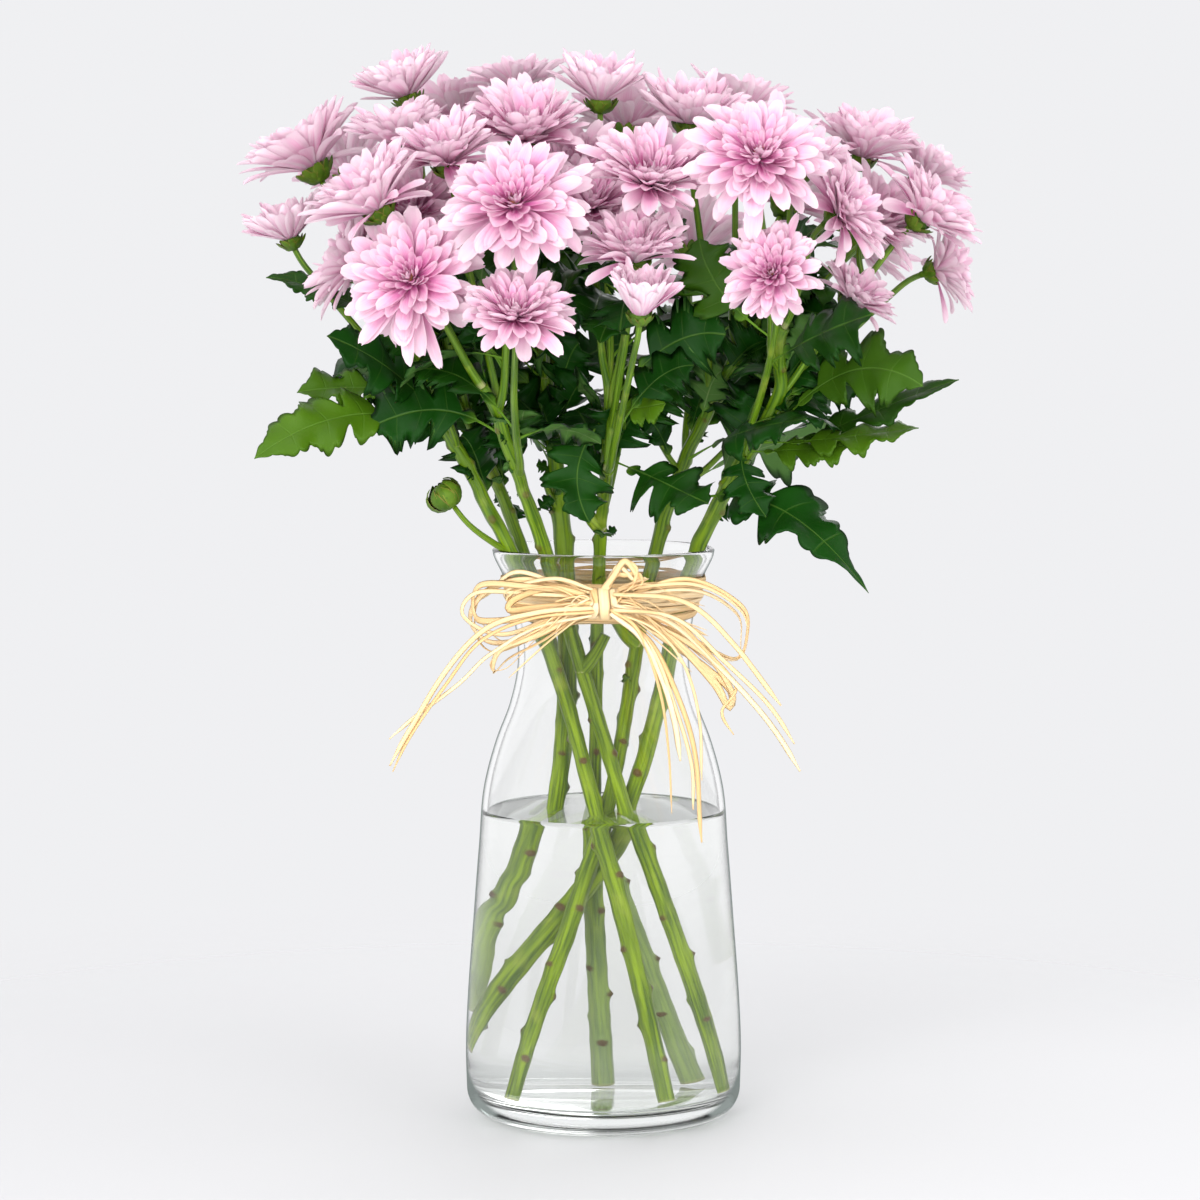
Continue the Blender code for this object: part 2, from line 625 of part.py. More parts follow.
def make_leaf(name, stalk, height, middle, tip, facing, width, material):
    """A lobed leaf, thickest at its midrib, with a flat end against its stalk."""
    middle, tip = np.array(middle), np.array(tip)
    place, along, radius = at_height(stalk["points"], stalk["radii"], height)
    towards = middle - place
    towards = unit(towards - along * (towards @ along))
    base = place + towards * (radius + GAP * 1.15)
    spine = bezier(base, base + towards * 0.3 * np.linalg.norm(middle - base),
                   middle + (middle - (base + tip) / 2) * 0.33, tip, 41)
    rings = []
    for share, half, sweep in LEAF_ROWS:
        k = min(round(share * 40), 39)
        ahead = towards if share == 0.0 else unit(spine[k + 1] - spine[k])
        side = unit(np.cross(ahead, facing))
        up = np.cross(side, ahead)
        reach = max(half * width / 2, PETIOLE if share < 0.3 else 0.0005)
        spread = side * reach + up * reach * 0.10
        fold = ahead * sweep * np.linalg.norm(tip - base)
        thick = up * (PETIOLE if share < 0.3 else LEAF_THICK / 2)
        spot = spine[round(share * 40)]
        rings.append([spot + spread + fold, spot + thick,
                      spot - side * reach + up * reach * 0.10 + fold, spot - thick])
    piece(name, leaf_skin(name, rings), material)


# ---------------------------------------------------------------- raffia
def make_tie(material):
    """The band round the neck, the bow in front of it and the free ends."""
    inner = [(outer_radius(height) + 1.2 * GAP, height) for height in BAND_HEIGHTS]
    outer = [(radius + BAND_THICK, height) for radius, height in reversed(inner)]
    piece("raffia_band", turned("raffia_band", inner + outer, closed=True), material)
    front = -(outer_radius(BAND_HEIGHTS[-1]) + BAND_THICK + 2.2 * GAP)
    knot = knot_block((0.0, front - KNOT_SIZE[1] / 2, KNOT_HEIGHT))
    loops = []
    for name, points in LOOPS.items():
        route = raffia_route(points, LOOP_WIDTH)
        loops.append(solid_rod("loop_" + name, route, [LOOP_WIDTH / 2] * len(route)))
    piece("raffia_bow", combined(knot, loops, "UNION"), material)
    for name, points in TAILS.items():
        route = raffia_route(points, TAIL_WIDTH)
        tail = rod("raffia_tail_" + name, route, [TAIL_WIDTH / 2] * len(route))
        tail.data.materials.append(material)


def knot_block(centre):
    """The knot: a block with cut corners that the loops and ends come out of."""
    bm = bmesh.new()
    bmesh.ops.create_cube(bm, size=1.0)
    for vert in bm.verts:
        vert.co = Vector(centre) + vert.co * Vector(KNOT_SIZE)
    bmesh.ops.bevel(bm, geom=bm.edges[:], offset=0.003, segments=2, profile=0.5, affect="EDGES")
    obj = bpy.data.objects.new("knot", mesh_from(bm, "knot"))
    bpy.context.collection.objects.link(obj)
    return obj


def raffia_route(points, width):
    """Points a few widths apart on the smooth curve through hand-placed ones."""
    length = sum(np.linalg.norm(np.subtract(p, q)) for p, q in zip(points, points[1:]))
    return smooth_route(points, round(length / (2.6 * width)))


def main():
    for obj in list(bpy.data.objects):
        bpy.data.objects.remove(obj)
    glass = finish("clear_glass", (0.95, 0.97, 0.97), 0.02, 1.0)
    water = finish("still_water", (0.90, 0.95, 0.95), 0.03, 1.0)
    green = finish("green_stem", (0.20, 0.36, 0.04), 0.50)
    leaf = finish("green_leaf", (0.03, 0.14, 0.03), 0.45)
    pink = finish("pink_petal", (0.82, 0.44, 0.66), 0.60)
    straw = finish("dry_raffia", (0.85, 0.66, 0.38), 0.65)

    make_vase(glass)
    stalks = make_stems(green)
    make_water({n: (run["points"], run["radii"]) for n, run in stalks.items()}, water)
    for name, (_, _, centre, lean, compass, diameter, cup) in FLOWERS.items():
        make_head("flower_" + name, np.array(centre), leaning(lean, compass), diameter, cup, pink)
    make_bud(green)
    for name, (number, height, middle, tip, facing, width) in LEAVES.items():
        make_leaf("leaf_" + name, stalks[number], height, middle, tip, facing, width, leaf)
    make_tie(straw)


main()
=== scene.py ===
# %% [markdown]
# # A bunch of spray chrysanthemums in a clear vase
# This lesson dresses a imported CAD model. The CAD says where everything is: a turned glass
# vase, its water, seven stalks, thirty-six flower heads, leaves, a bud and a raffia tie.
# We load that frame first and never move it. Each visible piece that we make then rides on
# it, and stands for the plain solid that it replaces.

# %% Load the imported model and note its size
import math

import bpy
import numpy as np
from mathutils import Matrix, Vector


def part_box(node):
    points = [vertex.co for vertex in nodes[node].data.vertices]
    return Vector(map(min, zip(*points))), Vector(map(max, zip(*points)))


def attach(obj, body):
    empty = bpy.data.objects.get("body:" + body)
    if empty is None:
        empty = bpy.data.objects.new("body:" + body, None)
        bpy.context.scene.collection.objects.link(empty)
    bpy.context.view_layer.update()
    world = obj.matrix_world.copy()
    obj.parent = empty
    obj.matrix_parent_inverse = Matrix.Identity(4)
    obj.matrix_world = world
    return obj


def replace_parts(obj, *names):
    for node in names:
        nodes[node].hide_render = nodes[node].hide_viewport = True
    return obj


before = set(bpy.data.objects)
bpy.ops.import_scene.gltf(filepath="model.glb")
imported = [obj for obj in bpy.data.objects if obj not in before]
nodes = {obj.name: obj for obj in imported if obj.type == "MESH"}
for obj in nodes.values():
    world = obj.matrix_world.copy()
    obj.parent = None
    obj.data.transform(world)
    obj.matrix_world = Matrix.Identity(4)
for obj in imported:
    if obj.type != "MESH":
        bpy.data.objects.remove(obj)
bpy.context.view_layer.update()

# %% [markdown]
# ## The camera
# A long lens, nearly two metres away and just above the height of the blooms' middle, keeps
# the vase's sides almost parallel. A slight downward tilt shows the ellipse of the water and
# of the rim. A short lens from close by would make the near flowers look too large.

# %% The camera
CAMERA_PLACE = (-0.0015, -1.9, 0.395)
CAMERA_TILT = 5.06          # degrees down
LENS, SENSOR = 131.4, 36.0  # millimetres

lens = bpy.data.cameras.new("camera")
lens.lens, lens.sensor_width = LENS, SENSOR
camera = bpy.data.objects.new("camera", lens)
camera.location = CAMERA_PLACE
camera.rotation_euler = (math.radians(90 - CAMERA_TILT), 0, 0)
bpy.context.scene.collection.objects.link(camera)
bpy.context.scene.camera = camera
print("camera:", LENS, "mm lens at", CAMERA_PLACE, "tilted", CAMERA_TILT, "degrees down")

# %% [markdown]
# ## Meshes from rows of numbers
# Petals, leaves, ribbons and stems are all the same thing to the computer: a grid of points
# with faces between them. Plain Python loops over half a million faces are slow, so one
# helper takes whole NumPy arrays of points and faces. It also stores values on the points,
# such as how far along a petal each one is, which the materials read later.

# %% One helper that makes every piece
def make_piece(name, part, finishes, which=None):
    """A smooth mesh object that rides on the vase. A part is three things: its points, its
    faces as rows of 3 or 4 point numbers, and the values on its points."""
    points, faces, values = part
    mesh = bpy.data.meshes.new(name)
    corners = np.concatenate([np.ravel(block) for block in faces]).astype(np.int32)
    sizes = np.concatenate([np.full(len(block), block.shape[1]) for block in faces])
    mesh.vertices.add(len(points))
    mesh.vertices.foreach_set("co", np.ravel(points).astype(np.float32))
    mesh.loops.add(len(corners))
    mesh.loops.foreach_set("vertex_index", corners)
    mesh.polygons.add(len(sizes))
    starts = np.concatenate([[0], np.cumsum(sizes)[:-1]])
    mesh.polygons.foreach_set("loop_start", starts.astype(np.int32))
    for key, numbers in values.items():
        layer = mesh.attributes.new(key, "FLOAT", "POINT")
        layer.data.foreach_set("value", np.ravel(numbers).astype(np.float32))
    mesh.update(calc_edges=True)
    mesh.shade_smooth()
    for finish in finishes:
        mesh.materials.append(finish)
    if which is not None:
        mesh.polygons.foreach_set("material_index", np.asarray(which, np.int32))
    obj = bpy.data.objects.new(name, mesh)
    bpy.context.scene.collection.objects.link(obj)
    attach(obj, "root")
    print(name + ":", len(points), "points,", len(sizes), "faces")
    return obj


# %% [markdown]
# Three small helpers come back all the time. One gives a direction the length one, one makes
# a smooth step, and one turns a pair of directions about the third, as a hand rolls a
# ribbon. A fourth hands out the random numbers: its seeds are fixed, so the bunch is the
# same each time.

# %% Directions, smooth steps and chance
SEEDS = {"raffia end": 100, "band": 7, "bow": 21, "stalk": 300, "bloom": 500,
         "bloom between": 560, "bud": 77, "leaf": 700, "large leaf": 800, "foliage": 900}
FULL_TURN = 2 * math.pi


def chance(kind, number=0):
    """Random numbers for one piece, the same on each run."""
    return np.random.default_rng(SEEDS[kind] + number)


def unit(vectors):
    """Vectors cut or stretched to length one."""
    vectors = np.asarray(vectors, float)
    return vectors / np.maximum(np.linalg.norm(vectors, axis=-1, keepdims=True), 1e-12)


def ease(x, low=0.0, high=1.0):
    """0 below low, 1 above high, and a smooth step between."""
    x = np.clip((np.asarray(x, float) - low) / (high - low), 0, 1)
    return x * x * (3 - 2 * x)


def turned(side, over, angle):
    """Two directions at right angles, turned in their own plane by an angle in radians."""
    return side * np.cos(angle) + over * np.sin(angle), over * np.cos(angle) - side * np.sin(angle)


print("a smooth step, a quarter of the way:", round(float(ease(0.25)), 3))

# %% [markdown]
# ## Smooth routes
# Stems and raffia follow a few given points. A Catmull-Rom curve passes through each
# of them without a corner. The points on it are then spaced evenly, so that the rings or
# ribs of a stem don't crowd where the given points do.

# %% Smooth routes through a few points
def run_along(line):
    """How far along a line each of its points lies."""
    return np.concatenate([[0], np.cumsum(np.linalg.norm(np.diff(line, axis=0), axis=1))])


def length_of(line):
    """The length of a line of points."""
    return float(np.linalg.norm(np.diff(line, axis=0), axis=1).sum())


def resampled(line, count):
    """The same line with evenly spaced points."""
    line = np.asarray(line, float)
    run = run_along(line)
    at = np.linspace(0, run[-1], count)
    return np.stack([np.interp(at, run, line[:, k]) for k in range(3)], 1)


def smooth_route(points, count):
    """Evenly spaced points on the smooth curve through given ones."""
    p = np.asarray(points, float)
    p = np.vstack([2 * p[0] - p[1], p, 2 * p[-1] - p[-2]])
    t = np.linspace(0, 1, 30, endpoint=False)[:, None]
    fine = [0.5 * (2 * b + (c - a) * t + (2 * a - 5 * b + 4 * c - d) * t**2
                   + (3 * b - a - 3 * c + d) * t**3)
            for a, b, c, d in zip(p, p[1:], p[2:], p[3:])]
    return resampled(np.vstack(fine + [p[-2]]), count)


arch = smooth_route([(0, 0, 0), (1, 0, 1), (2, 0, 0)], 50)
print("an arch over two metres is", round(length_of(arch), 2), "metres long")

# %% [markdown]
# Along a route we need to know which way is sideways and which way is up. Each frame is the
# one before, turned only as much as the route turns, so that a ribbon doesn't spin. Rings
# of points placed in these frames are then joined by faces.

# %% Frames along a route, and faces between rings
def frames_along(line, up):
    """Direction, side and up at each point; they turn no more than the line does."""
    ahead = unit(np.gradient(line, axis=0))
    if abs(unit(up) @ ahead[0]) > 0.95:
        up = np.array([0.2, 1, 0.1])
    sides = [unit(np.cross(ahead[0], up))]
    for here in ahead[1:]:
        sides.append(unit(sides[-1] - here * (sides[-1] @ here)))
    side = np.array(sides)
    return ahead, side, np.cross(side, ahead)


def ring_faces(rows, columns):
    """Quads between closed rings of points."""
    r, c = np.arange(rows - 1)[:, None] * columns, np.arange(columns)
    after = (c + 1) % columns
    return np.stack([r + c, r + after, r + after + columns, r + c + columns], -1).reshape(-1, 4)


def tube_faces(rows, columns):
    """The faces of closed rings that end in two middle points, which are the last points."""
    c = np.arange(columns)
    after, last, middle = (c + 1) % columns, (rows - 1) * columns, rows * columns
    ends = np.vstack([np.stack([after, c, np.full(columns, middle)], 1),
                      np.stack([last + c, last + after, np.full(columns, middle + 1)], 1)])
    return [ring_faces(rows, columns), ends]


print("a tube of 10 rings of 8 points has", sum(map(len, tube_faces(10, 8))), "faces")

# %% [markdown]
# ## Shader sums as Python sums
# A finish such as "paler towards the tip, darker in the folds" is arithmetic on values that
# vary over the surface. Blender does that with Math nodes, which are slow to read when they
# are added one by one. The small class below wraps a node's output, so that `1 - along`
# or `veins * 0.3` adds the right node by itself.

# %% Wires between nodes
class Wire:
    """An output of a node that can be used in sums."""

    def __init__(self, bench, output):
        self.bench, self.output = bench, output

    def maths(self, operation, *others):
        return self.bench.node("Math", {"operation": operation}, dict(enumerate((self, *others))))

    def __add__(self, other):
        return self.maths("ADD", other)

    def __sub__(self, other):
        return self.maths("SUBTRACT", other)

    def __rsub__(self, other):
        return self.bench.node("Math", {"operation": "SUBTRACT"}, {0: other, 1: self})

    def __mul__(self, other):
        return self.maths("MULTIPLY", other)

    def __abs__(self):
        return self.maths("ABSOLUTE")

    __radd__, __rmul__ = __add__, __mul__


# %% [markdown]
# All other nodes come from one method of a workbench, which also has short names for the
# few recipes that many finishes share: a smooth fade, a mix of two colours, random spots,
# a raised surface. A material and the world's sky are built on the same kind of bench.

# %% A workbench for finishes
class Bench:
    """A material or a world on the workbench: its nodes are added by one method."""

    def __init__(self, holder, output="OutputMaterial"):
        self.holder, self.output = holder, output
        holder.use_nodes = True
        self.tree = holder.node_tree
        self.tree.nodes.clear()
        print("finish:", holder.name)

    def node(self, kind, settings=None, sockets=None, output=0):
        """Add one node: its kind, its settings first, then its sockets' values or wires."""
        made = self.tree.nodes.new("ShaderNode" + kind)
        for key, value in (settings or {}).items():
            if key == "stops":
                ramp = made.color_ramp
                while len(ramp.elements) < len(value):
                    ramp.elements.new(0.5)
                for element, (place, colour) in zip(ramp.elements, value):
                    element.position, element.color = place, (*colour, 1.0)
            else:
                setattr(made, key, value)
        for key, value in (sockets or {}).items():
            if isinstance(value, Wire):
                self.tree.links.new(value.output, made.inputs[key])
            elif isinstance(value, tuple) and len(value) == 3 and made.inputs[key].type == "RGBA":
                made.inputs[key].default_value = (*value, 1.0)
            else:
                made.inputs[key].default_value = value
        return Wire(self, made.outputs[output]) if made.outputs else None

    def value(self, name):
        """A number stored on the mesh's points."""
        return self.node("Attribute", {"attribute_name": name}, output=2)

    def fade(self, value, low, high, start=0.0, end=1.0):
        """A smooth step from start to end while the value goes from low to high."""
        return self.node("MapRange", {"interpolation_type": "SMOOTHSTEP"},
                         {0: value, 1: low, 2: high, 3: start, 4: end})

    def mixed(self, share, first, second):
        """Two colours mixed; share 0 is the first."""
        return self.node("Mix", {"data_type": "RGBA"}, {0: share, 6: first, 7: second}, output=2)

    def place(self, x, y, z):
        """A vector made of three numbers or wires."""
        return self.node("CombineXYZ", None, {0: x, 1: y, 2: z})

    def axis(self, vector, number):
        """One of a vector's three numbers: 0, 1 or 2 for x, y or z."""
        return self.node("SeparateXYZ", None, {0: vector}, output=number)

    def length(self, vector):
        """How long a vector is."""
        return self.node("VectorMath", {"operation": "LENGTH"}, {0: vector}, output=1)

    def noise(self, where, scale, detail=2.0, roughness=0.5):
        """Soft random spots from 0 to 1."""
        return self.node("TexNoise", None, {"Vector": where, "Scale": scale, "Detail": detail,
                                            "Roughness": roughness})

    def object_place(self):
        """Where a point is, in metres."""
        return self.node("TexCoord", output=3)

    def bumped(self, height, depth, strength):
        """A normal that makes the height look raised by depth metres."""
        return self.node("Bump", None, {"Strength": strength, "Distance": depth, "Height": height})

    def finish(self, surface):
        """Join a shader to the output, and return the material or the world."""
        self.node(self.output, None, {"Surface": surface})
        return self.holder

    def thin(self, colour, glow, share, **sockets):
        """A thin skin: an ordinary surface mixed with light of one colour from behind."""
        more = {key.replace("_", " "): value for key, value in sockets.items()}
        body = self.node("BsdfPrincipled", None, {"Base Color": colour, **more})
        through = self.node("BsdfTranslucent", None, {"Color": glow})
        return self.node("MixShader", None, {0: share, 1: body, 2: through})


def new_bench(name):
    """A bench with a new, empty material on it."""
    return Bench(bpy.data.materials.new(name))


# %% [markdown]
# ## Raffia
# Raffia is the split skin of a palm leaf: flat, straw-coloured, folded along its length and
# marked by fine fibres. Round cords would look like string, so each strand is a thin ribbon
# with a creased cross-section. The colour follows the fibres, and a little light comes
# through, as it does through dry straw.

# %% The raffia's finish
def raffia_finish():
    """Dry straw with long fibres."""
    bench = new_bench("raffia")
    across, along, tone = (bench.value(k) for k in ("across", "along", "tone"))
    strand = bench.place(across * 5.0 + tone * 37.0, along * 22.0, tone * 11.0)
    fibres = bench.noise(strand, 2.2, 4.0, 0.62)
    fine = bench.noise(bench.place(across * 16.0 + tone * 90.0, along * 30.0, tone), 2.0, 2.0)
    shade = fibres * 0.75 + fine * 0.25 + tone * 0.34 - 0.18
    colour = bench.node("ValToRGB", {"stops": [
        (0.15, (0.58, 0.34, 0.12)), (0.36, (0.84, 0.58, 0.28)), (0.55, (0.94, 0.74, 0.43)),
        (0.80, (0.98, 0.88, 0.66))]}, {0: shade})
    normal = bench.bumped(fibres * 0.6 + fine * 0.4, 0.0004, 0.55)
    return bench.finish(bench.thin(colour, (0.90, 0.68, 0.38), 0.25, Roughness=0.58, Normal=normal,
                                   Specular_IOR_Level=0.30))


RAFFIA = raffia_finish()

# %% [markdown]
# ### Ribbons
# A ribbon is drawn with eight points round its section: two sharp edges, three points above
# and three below. The middle ones are lifted for the crease. The ribbon rolls a little as
# it runs, so its flat side catches the light here and hides there.

# %% Ribbons
RIBBON_SPOTS = np.array([  # across, crease, side of the sheet: once round the section
    (-1.0, 0.0, 0.0), (-0.5, 0.55, 1.0), (0.0, 1.0, 1.0), (0.5, 0.55, 1.0),
    (1.0, 0.0, 0.0), (0.5, 0.55, -1.0), (0.0, 1.0, -1.0), (-0.5, 0.55, -1.0)])
RIBBON_THICK = 0.00022      # metres


def ribbon(line, width, up, tone, roll=(0.0, 0.0), crease=0.16, closed=False, ends=(0.3, 0.3)):
    """A creased ribbon along a line: points, faces and values."""
    line = np.asarray(line, float)
    count, around = len(line), len(RIBBON_SPOTS)
    share = np.linspace(0, 1, count)
    if closed:
        ahead = unit(np.roll(line, -1, 0) - np.roll(line, 1, 0))
        side = unit(np.cross(ahead, up))
        over = np.cross(side, ahead)
    else:
        ahead, side, over = frames_along(line, up)
    angle = np.radians(roll[0] + (roll[1] - roll[0]) * share)[:, None]
    side, over = turned(side, over, angle)
    half = np.full(count, width / 2)
    if not closed:
        half = half * (ends[0] + (1 - ends[0]) * ease(share, 0, 0.08))
        half = half * (ends[1] + (1 - ends[1]) * ease(1 - share, 0, 0.10))
    spots = (line[:, None] + side[:, None] * RIBBON_SPOTS[None, :, :1] * half[:, None, None]
             + over[:, None] * (RIBBON_SPOTS[None, :, 1:2] * half[:, None, None] * 2 * crease
                                + RIBBON_SPOTS[None, :, 2:] * RIBBON_THICK / 2))
    faces = [ring_faces(count, around)]
    if closed:
        last, c = (count - 1) * around, np.arange(around)
        after = (c + 1) % around
        faces[0] = np.vstack([faces[0], np.stack([last + c, last + after, after, c], 1)])
    else:
        cap = np.array([(0, 7, 1), (1, 7, 6), (1, 6, 2), (2, 6, 5), (2, 5, 3), (3, 5, 4)])
        faces.append(np.vstack([cap, (cap + (count - 1) * around)[:, ::-1]]))
    values = {"across": np.tile(RIBBON_SPOTS[:, 0], count), "along": np.repeat(run_along(line), around),
              "tone": np.full(count * around, tone)}
    return spots.reshape(-1, 3), faces, values


def joined(parts):
    """Several (points, faces, values) put together as one."""
    points, start, quads, tris = [], 0, [], []
    for spots, faces, _ in parts:
        for block in faces:
            (quads if block.shape[1] == 4 else tris).append(block + start)
        points.append(spots)
        start += len(spots)
    values = {key: np.concatenate([np.ravel(part[2][key]) for part in parts]) for key in parts[0][2]}
    faces = [np.vstack(block) for block in (quads, tris) if block]
    return np.vstack(points), faces, values


print("points round a ribbon's section:", len(RIBBON_SPOTS))

# %% [markdown]
# ### The free ends
# These free ends leave the knot in front of the neck, stiff enough to stand out before they
# bend down under their own weight. Their routes are the ones that the CAD uses, in metres. A
# few thinner strands of the same bunch run beside them.

# %% Routes of the free ends
TAIL_WIDTH = 0.0024
TAILS = {
    "left": ((-0.004, -0.0585, 0.2285), (-0.028, -0.063, 0.227), (-0.050, -0.062, 0.220),
             (-0.069, -0.061, 0.198), (-0.082, -0.060, 0.178), (-0.090, -0.060, 0.161)),
    "right": ((0.004, -0.0585, 0.230), (0.028, -0.064, 0.223), (0.049, -0.065, 0.204),
              (0.068, -0.066, 0.183), (0.083, -0.066, 0.160)),
    "right_short": ((0.004, -0.0585, 0.2345), (0.034, -0.068, 0.232), (0.055, -0.070, 0.214),
                    (0.074, -0.072, 0.189)),
    "front": ((0.0035, -0.0585, 0.2255), (0.020, -0.062, 0.214), (0.032, -0.061, 0.190),
              (0.039, -0.060, 0.163), (0.042, -0.058, 0.129)),
}
STRANDS = {  # name: width and points of the thinner strands beside them
    "left_low": (0.0017, ((-0.005, -0.060, 0.2255), (-0.030, -0.060, 0.220), (-0.048, -0.059, 0.209),
                          (-0.060, -0.058, 0.1965), (-0.078, -0.058, 0.185), (-0.090, -0.058, 0.172))),
    "front_short": (0.002, ((0.003, -0.060, 0.228), (0.015, -0.064, 0.219), (0.024, -0.062, 0.193),
                            (0.0275, -0.0595, 0.167), (0.029, -0.0575, 0.141))),
    "front_thin": (0.0013, ((0.004, -0.060, 0.227), (0.022, -0.065, 0.220), (0.034, -0.064, 0.205),
                            (0.0405, -0.062, 0.180), (0.042, -0.060, 0.156))),
    "front_wide": (0.0026, ((0.003, -0.0605, 0.2265), (0.016, -0.064, 0.216), (0.025, -0.0625, 0.198),
                            (0.030, -0.0605, 0.180), (0.0325, -0.0595, 0.164))),
    "front_mid": (0.0018, ((0.0035, -0.060, 0.226), (0.019, -0.063, 0.214), (0.030, -0.0615, 0.188),
                           (0.0365, -0.060, 0.165), (0.0385, -0.059, 0.142))),
    "left_mid": (0.0016, ((-0.004, -0.060, 0.227), (-0.030, -0.062, 0.2245), (-0.052, -0.0605, 0.2145),
                          (-0.067, -0.0595, 0.196), (-0.082, -0.059, 0.173), (-0.0895, -0.059, 0.159))),
    "right_mid": (0.0019, ((0.004, -0.060, 0.228), (0.030, -0.068, 0.225), (0.051, -0.069, 0.207),
                           (0.068, -0.068, 0.190), (0.080, -0.0675, 0.172))),
    "right_low": (0.0014, ((0.004, -0.060, 0.2275), (0.026, -0.067, 0.226), (0.043, -0.066, 0.212),
                           (0.055, -0.064, 0.196), (0.050, -0.062, 0.185), (0.056, -0.061, 0.175))),
}
print("routes of free ends:", len(TAILS), "thick,", len(STRANDS), "thin")

# %% [markdown]
# Each end is a ribbon along its route, with a small waver, a roll of its own and a tapered
# tip.

# %% Hang the free ends
END_POINTS, WAVER = 64, 0.0007
FIRST_STRAND = 10           # thin strands draw their chance from this number on


def raffia_end(name, points, width, number):
    """One free end, a ribbon along its route."""
    line = smooth_route(points, END_POINTS)
    rng = chance("raffia end", number)
    t = np.linspace(0, 1, len(line))[:, None]
    line = line + np.sin(t * (9 + 5 * rng.random()) + 6 * rng.random()) * WAVER * rng.normal(size=3) * t
    part = ribbon(line, width, (0.1, -1, 0.35), rng.random(),
                  roll=(rng.uniform(-25, 25), rng.uniform(-60, 60)), ends=(0.9, 0.35))
    obj = make_piece("raffia_" + name, part, [RAFFIA])
    return obj


for number, (name, points) in enumerate(TAILS.items()):
    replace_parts(raffia_end("end_" + name, points, TAIL_WIDTH, number), "raffia_tail_" + name)
for number, (name, (width, points)) in enumerate(STRANDS.items()):
    raffia_end("strand_" + name, points, width, FIRST_STRAND + number)
print("free raffia ends:", len(TAILS) + len(STRANDS))

# %% [markdown]
# ## The vase and its water
# The glass was turned in the CAD with straight facets. Here its rings are read back, a
# smooth curve is drawn through them, and the curve is spun again with many more steps. A
# real vase has a thick, slightly hollow floor and a fire-polished lip, so both are rounded.

# %% Read the vase's rings from the CAD
def points_of(name):
    """The points of a CAD node as an array."""
    mesh = nodes[name].data
    spots = np.zeros(len(mesh.vertices) * 3)
    mesh.vertices.foreach_get("co", spots)
    return spots.reshape(-1, 3)


HEEL, FLOOR, INNER_HEEL = 0.013, 0.011, 0.008   # as in the CAD
WALL_LOW, WALL_HIGH = 0.029, 0.249      # between these heights each ring has two radii
rings = {}
for x, y, z in points_of("glass_vase"):
    rings.setdefault(round(z, 5), []).append(math.hypot(x, y))
wall_rings = {z: (min(r), max(r)) for z, r in rings.items()
              if WALL_LOW < z < WALL_HIGH and max(r) - min(r) > 0.001}
vase_height = max(rings)
foot_radius = max(rings[min(rings)])
wall = float(np.median([b - a for a, b in wall_rings.values()]))
heel_ring = rings[min(rings, key=lambda z: abs(z - HEEL))]
lip_rings = [r for z, r in rings.items() if z > vase_height - 0.003]
ring_heights = np.array([HEEL] + sorted(wall_rings) + [vase_height])
ring_radii = np.array([max(heel_ring)] + [wall_rings[z][1] for z in sorted(wall_rings)]
                      + [max(map(max, lip_rings))])
print("vase: height", vase_height, "foot radius", round(foot_radius, 4), "wall", round(wall, 4))

# %% [markdown]
# Between the rings the glass runs in one smooth sweep. A Hermite curve takes its slope at
# each ring from the rings beside it, so no ring shows as a crease in the reflections. The
# profile is then spun about the vase's axis, as the glass is turned in its mould.

# %% The smooth wall, and a helper that spins a profile
def outer_radius(height):
    """The vase's outer radius, on a smooth curve through the CAD's rings."""
    slopes = np.gradient(ring_radii, ring_heights)
    k = np.clip(np.searchsorted(ring_heights, height) - 1, 0, len(ring_heights) - 2)
    gap = ring_heights[k + 1] - ring_heights[k]
    t = np.clip((height - ring_heights[k]) / gap, 0, 1)
    return ((1 + 2 * t) * (1 - t)**2 * ring_radii[k] + t * (1 - t)**2 * gap * slopes[k]
            + t * t * (3 - 2 * t) * ring_radii[k + 1] + t * t * (t - 1) * gap * slopes[k + 1])


def inner_radius(height):
    """The radius of the hollow inside the vase."""
    return float(outer_radius(height)) - wall


def spun(profile, steps):
    """A closed skin from (radius, height) points; both ends of the profile lie on the axis."""
    profile = np.asarray(profile, float)
    turn = np.linspace(0, FULL_TURN, steps, endpoint=False)
    ring = np.stack([np.cos(turn), np.sin(turn)], 1)
    middle = profile[1:-1]
    rows = np.repeat(middle[:, None, 1:], steps, 1)
    spots = np.concatenate([middle[:, None, :1] * ring[None], rows], 2)
    spots = np.vstack([spots.reshape(-1, 3), [(0, 0, profile[0, 1]), (0, 0, profile[-1, 1])]])
    return spots, tube_faces(len(middle), steps), {}


def quarter(centre, size, start, steps):
    """Points of a quarter ellipse that starts at an angle in degrees."""
    angle = np.radians(np.linspace(start, start + 90, steps))
    return [(centre[0] + size[0] * math.cos(a), centre[1] + size[1] * math.sin(a)) for a in angle]


print("radius of the vase's narrowest neck:", round(float(outer_radius(np.linspace(0.2, 0.25, 50)).min()), 4))

# %% [markdown]
# The glass profile starts under the foot, which is pushed up a little in the middle so that
# the vase stands on a ring. It goes up the outside, round the lip in a half circle, down the
# inside, and ends on the thick floor, which is slightly domed.

